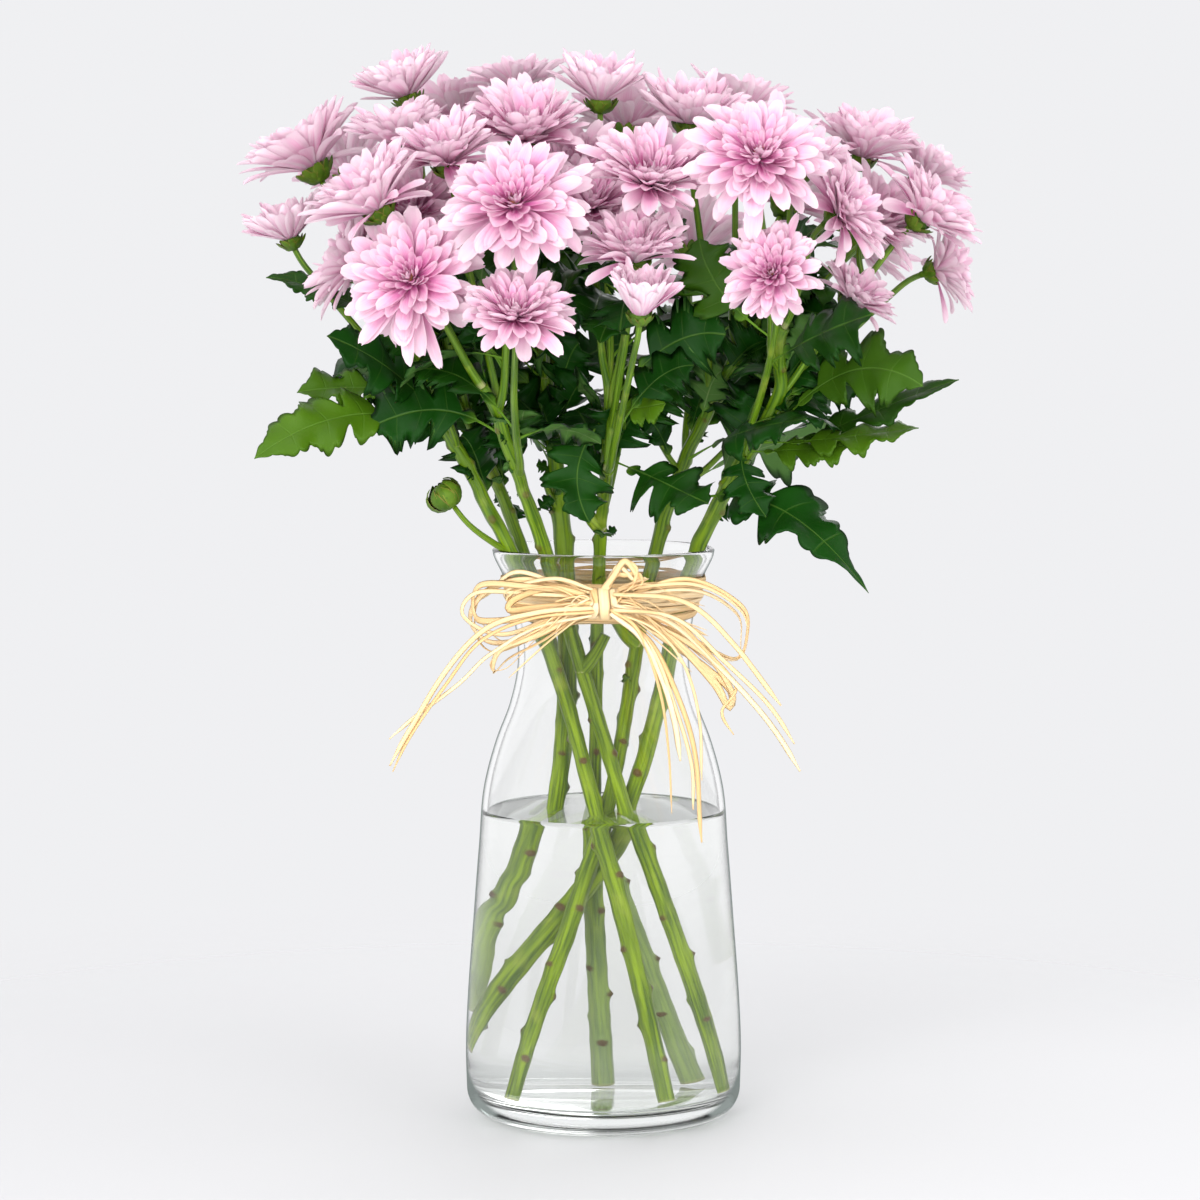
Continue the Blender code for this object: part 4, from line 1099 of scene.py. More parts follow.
PETAL_OUTLINE = (0.42, 0.74, 1.9)       # narrow foot, place of the widest part, blunt tip
FLORET_OUTLINE = (0.34, 0.66, 1.8)
BRACT_OUTLINE = (0.80, 0.55, 2.2)
BUD_OUTLINE = (0.6, 0.55, 1.5)
print("a petal's half width at the middle:", round(float(petal_outline(0.5, *PETAL_OUTLINE)), 2))

# %% [markdown]
# A sheet's two skins are grids of points side by side. Their quads are the same, but turn
# the other way round, because one skin looks up and the other down.

# %% Faces of a ring of sheets
def sheet_faces(count, rows, columns):
    """Quads of both skins of several equal sheets."""
    row = 2 * columns
    a = (np.arange(rows - 1)[:, None] * row + np.arange(columns - 1)).reshape(-1, 1)
    upper, lower = a + (0, row, row + 1, 1), a + columns + np.array((0, 1, row + 1, row))
    shift = (np.arange(count) * rows * row)[:, None, None]
    return (np.vstack([upper, lower]) + shift).reshape(-1, 4)


print("a sheet of 8 rows of 5 points has", len(sheet_faces(1, 8, 5)), "faces")

# %% [markdown]
# A whorl is drawn in one go with arrays of the shape petals, rows, columns. Along each
# spine the angle goes from start to end, and adding up the small steps gives the curve.
# Every petal gets its own length, width, lean and twist by chance, and a shallow notch or a
# point at its tip, because a ring of equal petals looks like a paper rosette.

# %% A ring of petals
SHEET_THICK = 0.0065                    # half of a petal's thickness, as a share of the head


def ring_of_sheets(rng, count, size, length, width, start, end, base, height, layer, loose=1.0,
                   rows=9, columns=5, hollow=0.35, thick=SHEET_THICK, outline=FLORET_OUTLINE, droop=0.0):
    """One whorl round the z axis; lengths are shares of size, angles are degrees above the flat."""
    def spread(amount):
        return rng.normal(size=(count, 1, 1)) * amount * loose

    t = 1 - (1 - np.linspace(0, 1, rows))**1.6
    s = np.linspace(-1, 1, columns)
    across = np.concatenate([s, s])[None, None, :]                 # the upper skin, then the lower
    skin = np.repeat((1.0, -1.0), columns)[None, None, :]
    turn = (np.arange(count) + rng.random()) * 2 * math.pi / count
    turn = turn + rng.normal(size=count) * 0.10 * loose
    long = size * length * (1 + spread(0.065))
    wide = size * width * (1 + spread(0.08)) / 2
    lift = spread(4.5) - 34 * (rng.random((count, 1, 1)) < droop)
    bend = np.radians(start + lift + (end - start + spread(6.0)) * t[None, :, None]**1.3)
    step = np.diff(t, prepend=0)[None, :, None] * long
    mid = (bend + np.roll(bend, 1, 1)) / 2
    mid[:, 0] = bend[:, 0]
    out = size * base + np.cumsum(step * np.cos(mid), 1)           # along the spine, away from the axis
    up = size * height + np.cumsum(step * np.sin(mid), 1)
    blunt = rng.uniform(0.10, 0.36, (count, 1, 1)) * (t == 1)[None, :, None]
    half = wide * np.maximum(petal_outline(t, *outline)[None, :, None], blunt)
    notch = rng.uniform(-0.02, 0.04, (count, 1, 1)) * ease(t, 0.9, 1.0)[None, :, None]
    pull = -long * notch * (1 - across**2)
    body = np.sin(math.pi * np.clip(t, 0, 1)**0.7)[None, :, None]
    dish = half * (hollow + spread(0.10)) * across**2 + spread(0.08) * half * across
    dish = dish + skin * size * thick * (1 - across**2) * body
    sway = long * spread(0.05) * t[None, :, None]**2
    twist = np.radians(spread(8.0)) * t[None, :, None]
    sideways = across * half * np.cos(twist) + sway
    dish = dish + across * half * np.sin(twist)
    r = out - np.sin(bend) * dish + np.cos(bend) * pull
    z = up + np.cos(bend) * dish + np.sin(bend) * pull
    c, d = np.cos(turn)[:, None, None], np.sin(turn)[:, None, None]
    spots = np.stack([r * c - sideways * d, r * d + sideways * c, z + 0 * c], -1)

    def on_all(numbers):
        return np.broadcast_to(numbers, (count, rows, 2 * columns)).ravel()

    values = {"along": on_all(t[None, :, None]), "across": on_all(across),
              "under": on_all((skin < 0) * 1.0), "tone": on_all(rng.random((count, 1, 1))),
              "layer": on_all(float(layer))}
    return spots.reshape(-1, 3), [sheet_faces(count, rows, columns)], values


trial = ring_of_sheets(chance("bloom"), 14, 0.03, 0.9, 0.26, 0, 10, 0.15, 0.3, 0.0)
print("a whorl of 14 petals has", len(trial[0]), "points and", len(trial[1][0]), "faces")

# %% [markdown]
# ## The petals' finish
# These blooms are nearly white at the outside and a strong pink in the heart. The colour
# slides along each petal and moves further towards pink for the inner whorls. Towards the
# root of each petal it is partly the real pink and partly painted shade, where the petals
# overlap. The gaps between petals turn deep magenta from that painted shade and because light
# that passes through several pink skins loses its green.

# %% Petal finish
def petal_finish():
    """Pale tips, pink roots partly darkened as painted shade, fine lengthwise veins."""
    bench = new_bench("petal")
    along, across, under, tone, layer = (
        bench.value(key) for key in ("along", "across", "under", "tone", "layer"))
    veins = bench.noise(bench.place(across * 5.5 + tone * 50.0, along * 0.9, tone * 9.0), 2.6, 3.0, 0.6)
    clouds = bench.noise(bench.object_place(), 60.0, 2.0)
    edge = across * across
    # The ramp darkens each petal towards its root: partly its real pink, partly painted shade where the
    # petals overlap.
    shift = along - layer * 0.34 + (veins - 0.5) * 0.78 + (tone - 0.5) * 0.16 + (clouds - 0.5) * 0.25
    shift = shift + edge * 0.24 - 0.02
    colour = bench.node("ValToRGB", {"stops": [
        (0.00, (0.61, 0.09, 0.36)), (0.20, (0.71, 0.22, 0.47)), (0.40, (0.77, 0.39, 0.585)),
        (0.60, (0.81, 0.55, 0.675)), (0.80, (0.82, 0.67, 0.735)), (1.00, (0.83, 0.75, 0.775))]}, {0: shift})
    below = bench.fade(along * 0.6 + veins * 1.3 + edge * 0.75, 0.62, 1.42)
    below = bench.mixed(below, (0.90, 0.58, 0.75), (1.0, 0.99, 0.995))
    colour = bench.mixed(under * 0.85, colour, below)
    eye = bench.fade(layer, 1.05, 1.4)
    floret = bench.mixed(bench.fade(along, 0.35, 0.85), (0.42, 0.46, 0.06), (0.80, 0.46, 0.16))
    colour = bench.mixed(eye, colour, floret)
    normal = bench.bumped(veins, 0.0007, 0.50)
    return bench.finish(bench.thin(colour, (0.98, 0.69, 0.845), 0.40, Roughness=0.50, Normal=normal,
                                   Specular_IOR_Level=0.25))


PETAL = petal_finish()

# %% [markdown]
# Under each head sits a cup of small green bracts, the calyx. They have thin dry margins,
# brown and yellow. The green bud is made of the same kind of scales, so it shares the finish.

# %% Calyx finish
def calyx_finish():
    """Small green bracts with thin brown-yellow margins."""
    bench = new_bench("calyx")
    along, across, tone = (bench.value(k) for k in ("along", "across", "tone"))
    spots = bench.noise(bench.object_place(), 320.0, 3.0)
    colour = bench.mixed(spots, (0.018, 0.060, 0.003), (0.070, 0.150, 0.008))
    edge = bench.fade(across * across + along * along * 0.25, 0.70, 1.10)
    colour = bench.mixed(edge * 0.80, colour, (0.24, 0.16, 0.04))
    colour = bench.mixed(tone * 0.3, colour, (0.20, 0.32, 0.02))
    return bench.finish(bench.thin(colour, (0.25, 0.40, 0.03), 0.08, Roughness=0.5,
                                   Normal=bench.bumped(spots, 0.0003, 0.5), Specular_IOR_Level=0.3))


CALYX = calyx_finish()

# %% [markdown]
# ## One bloom
# A spray chrysanthemum opens from the outside. Its outer petals are long, broad and nearly
# flat, and each whorl inside is shorter, narrower and steeper, until the last ones close
# over the small yellow-green eye. The head's own cup angle comes from the CAD. Half-open
# heads have all their whorls lifted.

# %% Whorls of a bloom
WHORLS = (  # petals, length, width, share of the way to upright, curl
    (14, 0.88, 0.258, -0.14, 12), (15, 0.92, 0.268, 0.01, 8), (16, 0.90, 0.262, 0.13, 4),
    (16, 0.85, 0.250, 0.23, 0), (15, 0.77, 0.230, 0.33, -5), (15, 0.67, 0.200, 0.44, -9),
    (14, 0.56, 0.160, 0.56, -12), (13, 0.45, 0.125, 0.68, -14), (12, 0.34, 0.095, 0.81, -14),
    (10, 0.24, 0.065, 0.95, -12))
FLORETS = ((12, 0.16, 0.045, 0.055), (7, 0.14, 0.040, 0.020))      # petals, length, width, base
GRIDS = ((8, 5), (6, 4), (5, 3))        # rows and columns of outer, middle and inner petals
DROOPING = (0.14, 0.05, 0, 0)           # the share of hanging petals in the outer whorls
UPRIGHT = 86                            # degrees above the flat at which petals stand upright
HALF_OPEN = 32                          # degrees of cup: steeper heads are half open
CLOSING = 14                            # how far a half-open head bends its petals inwards
BRACTS, BRACT_RINGS = 10, 3
print("petals in a bloom:", sum(row[0] for row in WHORLS), "and", sum(row[0] for row in FLORETS),
      "florets in the eye")

# %% [markdown]
# A bloom is drawn round the z axis with its seat at zero, and then turned and moved onto its
# stem. The solid middle of the calyx is turned on a lathe, as the vase is.

# %% Helpers for a head
def placed(part, origin, facing, spin):
    """A part drawn round the z axis, turned to face a direction and moved to its place."""
    facing = unit(facing)
    side = unit(np.cross((0.13, 0.31, 1.0) if abs(facing[2]) < 0.94 else (1.0, 0.2, 0), facing))
    side, over = turned(side, np.cross(facing, side), spin)
    return origin + part[0] @ np.array([side, over, facing]), part[1], part[2]


def lathe(profile, steps, tone):
    """A closed turned core with the values that sheets have."""
    spots, faces, _ = spun(profile, steps)
    zero = np.zeros(len(spots))
    return spots, faces, {"along": zero + 0.3, "across": zero, "under": zero, "tone": zero + tone,
                          "layer": zero}


# %% [markdown]
# Now the whorls can be stacked. Going in, each one starts nearer to the axis and a little
# higher. The calyx is a small turned core under three rings of bracts. Petals and calyx
# stay apart as two parts, because each has its own finish.

# %% Build one bloom
def bloom(rng, size, cup, lift):
    """All whorls and the calyx of one bloom; its seat is at zero and it faces up."""
    petals, bracts = [], []
    open_wide = cup <= HALF_OPEN
    closing = CLOSING * (not open_wide)
    longer = 1 / math.cos(math.radians(min(max(cup, 0), 25))) - 1
    for k, (count, length, width, rise, curl) in enumerate(WHORLS):
        mean = cup + (UPRIGHT - cup) * rise
        length = length * (1 + longer * (1 - rise))
        share = k / (len(WHORLS) - 1)
        rows, columns = GRIDS[(k > 3) + (k > 6)]
        petals.append(ring_of_sheets(
            rng, count, size, length, width, mean + curl - closing, mean - curl + closing,
            0.16 - 0.13 * share, lift / size + 0.10 * share, share, 1.8 if k < 2 and open_wide else 1.4,
            rows, columns, 0.42 + 0.15 * share, outline=PETAL_OUTLINE,
            droop=(cup < HALF_OPEN) * DROOPING[min(k, 3)]))
    for count, length, width, base in FLORETS:
        petals.append(ring_of_sheets(rng, count, size, length, width, 76, 98, base, lift / size + 0.07,
                                     1.5, 1.0, 5, 3, 0.2))
    bottom = lift - 0.27 * size
    core = lathe([(0, -0.0012), (0.0014, -0.001), (0.0015, bottom), (0.10 * size, bottom + 0.03 * size),
                  (0.19 * size, bottom + 0.12 * size), (0.235 * size, lift - 0.05 * size),
                  (0.19 * size, lift + 0.02 * size), (0, lift + 0.05 * size)], 20, rng.random())
    for row in range(BRACT_RINGS):
        bracts.append(ring_of_sheets(
            rng, BRACTS, size, 0.20 + 0.08 * row, 0.17, 4 + 8 * row, 84 - 4 * row, 0.06 + 0.02 * row,
            bottom / size + 0.005 + 0.02 * row, 0.0, 0.7, 5, 3, 0.4, 0.012, BRACT_OUTLINE))
    return joined(petals), joined(bracts + [core])


def bloom_piece(name, both):
    """One object from petals and calyx, which have a finish each."""
    flags = [np.full(len(block), number) for corners in (4, 3)
             for number, part in enumerate(both) for block in part[1] if block.shape[1] == corners]
    return make_piece(name, joined(both), [PETAL, CALYX], np.concatenate(flags))


# %% [markdown]
# The CAD's heads are cushions whose rim says how far the petals reach and how steep the cup
# is. A few heads are drawn a little smaller or larger than their cushion, where neighbours
# would touch or gaps would show, and two of them nod.

# %% Set a bloom on every head
FULLER = {"flower_01": 0.82, "flower_02": 0.92, "flower_03": 0.96, "flower_09": 0.86,
          "flower_10": 0.96, "flower_11": 0.96, "flower_12": 0.97, "flower_13": 0.92,
          "flower_17": 0.95, "flower_20": 0.94, "flower_21": 0.88, "flower_22": 0.94,
          "flower_23": 0.91, "flower_24": 0.84, "flower_25": 0.83, "flower_26": 0.94,
          "flower_27": 1.12}            # size of a bloom against its cushion; others 1.02
NODDING = {"flower_16": (0.0, -0.25, 0.0), "flower_08": (0.0, -0.15, 0.0)}
FLAT_RIM, CUP_RISE = 0.45, 0.55         # height of a cushion's rim, and what a full cup adds


def set_bloom(name, seat, facing, size, cup, lift, rng):
    """Petals and calyx as one object on a seat."""
    spin = rng.uniform(0, FULL_TURN)
    both = [placed(part, seat, facing, spin) for part in bloom(rng, size, cup, lift)]
    return bloom_piece(name, both)


for number, (name, (seat, facing, reach, tip)) in enumerate(heads.items()):
    if name == "flower_bud":
        continue
    size = reach / WHORLS[0][1] * FULLER.get(name, 1.02)
    sine = float(np.clip((tip / reach - FLAT_RIM) / CUP_RISE, -0.5, 0.85))
    lift = float(np.clip(tip - 0.95 * size * sine, 0.16 * size, 0.42 * size))
    facing = unit(facing + NODDING.get(name, (0, 0, 0)))
    made = set_bloom("bloom" + name[6:], seat, facing, size, math.degrees(math.asin(sine)), lift,
                     chance("bloom", number))
    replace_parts(made, name)
print("blooms on heads:", len(heads) - 1)

# %% [markdown]
# A few more blooms sit deep between the others, where the bunch would show gaps. They have
# no head of their own in the CAD, so each gets a short stem down to the stem nearest to it.

# %% Blooms between the others
BETWEEN = (((-0.080, -0.045, 0.390), (-0.2, -0.75, 0.62)), ((0.112, -0.012, 0.384), (0.45, -0.45, 0.75)),
           ((-0.012, -0.040, 0.405), (-0.1, -0.5, 0.85)))          # seat, facing
BETWEEN_SIZE, BETWEEN_CUP, BETWEEN_LIFT = 0.0235, 18, 0.006
THIN_STEM = 0.0014
for number, (seat, facing) in enumerate(BETWEEN):
    rng = chance("bloom between", number)
    seat, facing = np.array(seat), unit(facing)
    set_bloom("bloom_between_" + str(number + 1), seat, facing, BETWEEN_SIZE, BETWEEN_CUP, BETWEEN_LIFT, rng)
    run = every_run[every_run[:, 2] < seat[2] - 0.030]
    foot = run[np.linalg.norm(run - seat + (0, 0, 0.03), axis=1).argmin()]
    bend = (foot + seat) / 2 + (0, 0, -0.004)
    line = smooth_route([foot, bend, seat - facing * 0.006, seat + facing * 0.001], 16)
    part = stem_tube(line, np.full(len(line), THIN_STEM), rng, FLOWER_STEM_STEP, 8)
    make_piece("stem_between_" + str(number + 1), part, [STEM])
print("blooms between the others:", len(BETWEEN))

# %% [markdown]
# One green bud hangs at the left over the vase's mouth. It is a turned core with three rings
# of scales that close over it, the outermost short and the inner ones long enough to meet.

# %% The bud
SCALES = ((8, 0.80, 0.38, 5, 105), (8, 1.15, 0.40, 5, 150), (7, 1.30, 0.36, 8, 170))
seat, facing, reach, _ = heads["flower_bud"]
rng = chance("bud")
wide = 2 * reach
scales = [lathe([(0, -0.001), (0.10 * wide, 0), (0.30 * wide, 0.08 * wide), (0.44 * wide, 0.22 * wide),
                 (0.47 * wide, 0.42 * wide), (0.41 * wide, 0.64 * wide), (0.27 * wide, 0.79 * wide),
                 (0, 0.86 * wide)], 20, 0.8)]
for count, length, breadth, low, high in SCALES:
    scales.append(ring_of_sheets(rng, count, wide, length, breadth, low, high, 0.07, 0.0, 0.0, 0.5, 8, 3,
                                 0.3, 0.02, BUD_OUTLINE))
bud = make_piece("green_bud", placed(joined(scales), seat, facing, 0.4), [CALYX])
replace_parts(bud, "flower_bud")
print("the bud is", round(wide * 1000, 1), "mm wide")

# %% [markdown]
# ## Leaves
# A chrysanthemum leaf has a winged stalk, then a broad blade with deep rounded lobes and
# small teeth, and a blunt tip. Its half width is worked out along the midrib: the larger of
# a plain blade and of four rounded lobes, with teeth cut into it. Most rows of points lie on
# the blade and only a few on the stalk, so that the teeth stay crisp on a light mesh.

# %% A leaf's outline
LOBES = ((0.25, 0.045, 0.20), (0.41, 0.078, 0.88), (0.60, 0.098, 1.00),
         (0.79, 0.100, 0.78))           # place on the midrib, half span, size
BLADE = ((0, 0.10, 0.22, 0.34, 0.50, 0.60, 0.70, 0.80, 0.88, 0.95, 1.0),
         (0.035, 0.025, 0.035, 0.10, 0.30, 0.58, 0.62, 0.56, 0.42, 0.24, 0.01))
TEETH, TOOTH_DEPTH = 15, 0.17
LEAF_ROWS, FOLIAGE_ROWS = 96, 36        # points along a large leaf and along a small one
BLADE_THICK, STALK_THICKER = 0.00028, 0.0006        # metres, from the middle to each skin


def leaf_outline(rows):
    """Places along the midrib and the half width at each, from 0 to 1."""
    t = np.concatenate([np.linspace(0, 0.20, 6), np.linspace(0.205, 1, rows - 6)])
    half = np.interp(t, *BLADE)
    for place, span, size in LOBES:
        half = np.maximum(half, size * np.clip(1 - np.abs((t - place) / span)**2.6, 0, 1)**0.5)
    teeth = np.abs(np.sin(math.pi * (t - 0.32) * TEETH))**0.6
    return t, half * (1 - TOOTH_DEPTH * (1 - teeth) * (t > 0.34))


print("a leaf's widest half:", round(float(leaf_outline(LEAF_ROWS)[1].max()), 2))

# %% [markdown]
# The outline is then laid on a curved midrib. Across it, points run over the upper skin and
# back under the lower one. Each side's lobes get a size of their own, the two halves of the
# blade rise from the midrib as a shallow V, and their edges wave. The stalk end is thicker.

# %% Draw a leaf
def leaf(base, middle, tip, normal, width, rng, columns=9, tone=None, young=0.0, slender=1.0,
         rows=LEAF_ROWS):
    """A lobed leaf from its base to its tip, as a closed sheet; a slender one has a long tip."""
    base, middle, tip = (np.asarray(p, float) for p in (base, middle, tip))
    place, edge = leaf_outline(rows)
    t = place**slender
    control = 2 * middle - 0.5 * (base + tip)
    spine = ((1 - t)**2)[:, None] * base + (2 * t * (1 - t))[:, None] * control + (t**2)[:, None] * tip
    long = length_of(spine)
    ahead = unit(np.gradient(spine, axis=0))
    side = unit(np.cross(ahead, np.broadcast_to(unit(normal), ahead.shape)))
    over = np.cross(side, ahead)
    side, over = turned(side, over, np.radians(rng.normal() * 14) * t[:, None])

    s = np.linspace(-1, 1, columns)
    around = np.concatenate([s, s[-2:0:-1]])
    skin = np.concatenate([np.ones(columns), -np.ones(columns - 2)])
    sizes = 1 + rng.normal(size=(2, 4)) * 0.13
    scale = np.stack([np.interp(t, (0.36, 0.60, 0.77, 0.90), sizes[k]) for k in (0, 1)], 1)
    half = edge[:, None] * np.where(around[None] < 0, scale[:, :1], scale[:, 1:]) * width / 2
    half = half * (1 - (slender - 1) * 1.3 * ease(t, 0.5, 0.8))[:, None]
    x = around[None] * half
    push = np.abs(x) * 0.34 * np.interp(t, (0.2, 0.5, 1.0), (0.8, 1.0, 0.5))[:, None]
    wave = rng.uniform(0.05, 0.13) * np.abs(x) * np.sin(
        t[:, None] * rng.uniform(18, 26) + np.sign(around)[None] * 1.3 + rng.uniform(0, 6.3))
    rise = np.abs(x) * rng.uniform(0.12, 0.42) - x**2 / width * rng.uniform(0.5, 1.2) + wave * 1.8
    rise = rise + rng.normal() * 0.010 * long * np.sin(t * 5)[:, None]
    thick = BLADE_THICK + STALK_THICKER * np.clip(1 - t / 0.2, 0, 1)
    rise = rise + skin[None] * (1 - around[None]**2) * thick[:, None]
    spots = (spine[:, None] + ahead[:, None] * push[..., None] + side[:, None] * x[..., None]
             + over[:, None] * rise[..., None])
    ring = 2 * columns - 2
    c = np.arange(ring - 2)
    fan = np.stack([np.zeros(ring - 2, int), 1 + c, 2 + c], 1)
    ends = [fan, (fan + (rows - 1) * ring)[:, ::-1]]
    values = {"along": np.repeat(place, ring), "across": (around[None] * edge[:, None]).ravel(),
              "under": np.tile((skin < 0) * 1.0, rows),
              "tone": np.full(rows * ring, rng.random() if tone is None else tone),
              "young": np.full(rows * ring, young)}
    return spots.reshape(-1, 3), [ring_faces(rows, ring), np.vstack(ends)], values


trial = leaf((0, 0, 0), (0.04, 0, 0.01), (0.08, 0, 0), (0, 0, 1), 0.04, chance("leaf"))
print("a large leaf has", len(trial[0]), "points")

# %% [markdown]
# The upper side is dark and a little glossy, young leaves are lighter and more yellow, and
# the lower side is grey-green and matt. The midrib is a pale line down the middle. Side
# veins come from a zigzag along the leaf, and a fine bump makes the blade leathery.

# %% The leaves' finish
def leaf_finish():
    """Dark green above with pale veins, grey-green below."""
    bench = new_bench("leaf")
    along, across, under, tone, young = (
        bench.value(key) for key in ("along", "across", "under", "tone", "young"))
    place = bench.object_place()
    blotches, fine = bench.noise(place, 55.0, 3.0), bench.noise(place, 420.0, 2.0)
    reach = abs(across)
    rib = bench.fade(reach, 0.008, 0.032, 1.0, 0.0)
    wavering = along - 0.42 + (blotches - 0.5) * 0.01
    vein = bench.node("Math", {"operation": "PINGPONG"}, {0: wavering, 1: 0.095})
    vein = bench.fade(vein, 0.0005, 0.006, 0.8, 0.0) * bench.fade(reach, 0.20, 0.85, 0.6, 0.0)
    lines = bench.node("Math", {"operation": "MAXIMUM"}, {0: rib, 1: vein})
    dark = bench.mixed(blotches, (0.002, 0.022, 0.001), (0.008, 0.060, 0.004))
    fresh = bench.mixed(blotches, (0.045, 0.118, 0.003), (0.100, 0.205, 0.007))
    colour = bench.mixed(bench.fade(young + tone * 0.30, 0.10, 1.05), dark, fresh)
    colour = bench.mixed(lines * 0.34, colour, (0.11, 0.23, 0.03))
    below = bench.mixed(blotches, (0.045, 0.120, 0.022), (0.080, 0.180, 0.035))
    below = bench.mixed(lines * 0.5, below, (0.22, 0.34, 0.12))
    colour = bench.mixed(under, colour, below)
    colour = bench.mixed(bench.fade(along, 0.16, 0.30, 1.0, 0.0), colour, (0.10, 0.22, 0.015))
    normal = bench.bumped(fine * 0.25 - lines * 0.8 + blotches * 0.5, 0.0006, 0.55)
    return bench.finish(bench.thin(colour, (0.10, 0.26, 0.01), 0.14,
                                   Roughness=bench.fade(under, 0.2, 0.8, 0.40, 0.60), Normal=normal,
                                   Specular_IOR_Level=0.24))


LEAF = leaf_finish()

# %% [markdown]
# ### Leaves that the CAD has
# Each of the CAD's eight leaves is read back: the two points farthest apart are its stalk's
# end and its tip, a slice through the middle gives the bend and the width, and the
# direction in which it is thinnest is its normal.

# %% Read the CAD's leaves
def nearest_stem(place):
    """The closest point on any stem."""
    return every_run[np.linalg.norm(every_run - place, axis=1).argmin()]


def read_leaf(name):
    """Base, middle, tip, normal and width of a CAD leaf."""
    spots = points_of(name)
    gaps = np.linalg.norm(spots[:, None] - spots[None], axis=2)
    ends = spots[list(np.unravel_index(gaps.argmax(), gaps.shape))]
    away = [np.linalg.norm(every_run - p, axis=1).min() for p in ends]
    base, tip = ends if away[0] < away[1] else ends[::-1]
    line = tip - base
    share = (spots - base) @ line / (line @ line)
    normal = np.linalg.svd(spots - spots.mean(0))[2][2]
    normal = normal * (1 if normal[2] > 0 else -1)
    across = unit(np.cross(line, normal))
    band = spots[(share > 0.3) & (share < 0.75)]
    sideways = (band - base) @ across
    middle = band.mean(0) - across * (sideways.mean() - 0.5 * (sideways.max() + sideways.min()))
    middle = base + line * 0.5 + normal * ((middle - base) @ normal)
    return base, middle, tip, normal, float(np.ptp((spots - base) @ across))


print("leaf_01 is", round(read_leaf("leaf_01")[4], 3), "metres wide in the CAD")

# %% [markdown]
# Five of these leaves bend more than a plain solid shows, and some are turned so that they
# show their face. Small tables hold what is special about each leaf, and all eight are then
# drawn by one loop.

# %% Dress the CAD's leaves
YOUNG = {"leaf_01": 0.62, "leaf_03": 0.42, "leaf_04": 0.25}      # how pale and yellow a leaf is
SLENDER = {"leaf_05": 1.45, "leaf_04": 1.1, "leaf_01": 1.15}
NARROW = {"leaf_04": 0.70, "leaf_01": 0.82, "leaf_05": 0.9}
ROUTES = {  # how these five really bend: base, middle and tip in metres
    "leaf_01": ((-0.073, -0.024, 0.305), (-0.112, -0.046, 0.308), (-0.147, -0.060, 0.292)),
    "leaf_03": ((0.069, -0.020, 0.296), (0.102, -0.044, 0.327), (0.134, -0.062, 0.322)),
    "leaf_04": ((0.070, -0.010, 0.291), (0.111, -0.020, 0.308), (0.152, -0.030, 0.323)),
    "leaf_05": ((0.042, -0.010, 0.272), (0.078, -0.041, 0.267), (0.111, -0.075, 0.237)),
    "leaf_06": ((0.037, -0.012, 0.289), (0.061, -0.040, 0.302), (0.085, -0.066, 0.309)),
}
FACING = {"leaf_01": (0.0, -0.8, 0.6), "leaf_02": (0.2, -0.7, 0.6), "leaf_03": (-0.2, -0.75, 0.6),
          "leaf_04": (-0.3, -0.5, 0.8), "leaf_05": (0.3, -0.85, 0.45), "leaf_06": (-0.2, -0.7, 0.7)}
for number, name in enumerate(sorted(n for n in nodes if n.startswith("leaf_"))):
    base, middle, tip, normal, width = read_leaf(name)
    base, middle, tip = np.array(ROUTES.get(name, (base, middle, tip)))
    part = leaf(base, middle, tip, FACING.get(name, normal), width * NARROW.get(name, 1.0),
                chance("leaf", number), young=YOUNG.get(name, 0.0), tone=0.3,
                slender=SLENDER.get(name, 1.0))
    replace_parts(make_piece("lobed_" + name, part, [LEAF]), name)
    print(name, "length", round(float(np.linalg.norm(tip - base)), 3), "width", round(width, 3))

# %% [markdown]
# ### More leaves on the stems
# The large leaves that give the bunch its outline are placed one by one, each from the nearest
# stem. The base of a leaf is found by going back from its tip through its middle, and then
# to the closest point on any stem.

# %% Large leaves placed one by one
LARGE = {  # name: middle, tip, normal, width, young (metres)
    "left_high": ((-0.100, -0.026, 0.321), (-0.131, -0.028, 0.318), (0.1, -0.5, 0.9), 0.030, 0.5),
    "left_edge": ((-0.112, -0.040, 0.361), (-0.143, -0.042, 0.366), (0.2, -0.6, 0.75), 0.020, 0.2),
    "right_olive": ((0.081, -0.030, 0.293), (0.108, -0.036, 0.297), (0.0, -0.45, 0.85), 0.026, 0.65),
    "beside_stalk": ((0.058, -0.034, 0.284), (0.069, -0.044, 0.266), (0.3, -0.8, 0.4), 0.024, 0.0),
    "right_thin": ((0.100, -0.032, 0.299), (0.134, -0.040, 0.303), (0.0, -0.5, 0.8), 0.026, 0.6),
    "high_right": ((0.084, -0.068, 0.342), (0.112, -0.075, 0.352), (-0.1, -0.6, 0.75), 0.044, 0.1),
    "hanging": ((-0.014, -0.044, 0.288), (-0.006, -0.052, 0.264), (0.2, -0.9, 0.3), 0.032, 0.0),
    "low_right": ((0.024, -0.044, 0.281), (0.044, -0.060, 0.273), (0.1, -0.75, 0.6), 0.036, 0.1),
    "middle": ((0.010, -0.056, 0.312), (0.026, -0.062, 0.315), (0.0, -0.7, 0.7), 0.024, 0.7),
    "top_middle": ((0.047, -0.058, 0.362), (0.040, -0.062, 0.384), (0.1, -0.9, 0.2), 0.034, 0.3),
}
for number, (name, (middle, tip, normal, width, young)) in enumerate(LARGE.items()):
    middle, tip = np.array(middle), np.array(tip)
    base = nearest_stem(2 * middle - tip)
    centre = 0.75 * middle + 0.25 * (base + tip) / 2
    part = leaf(base, centre, tip, normal, width, chance("large leaf", number), young=young)
    make_piece("spray_leaf_" + name, part, [LEAF])
print("large leaves:", len(LARGE))

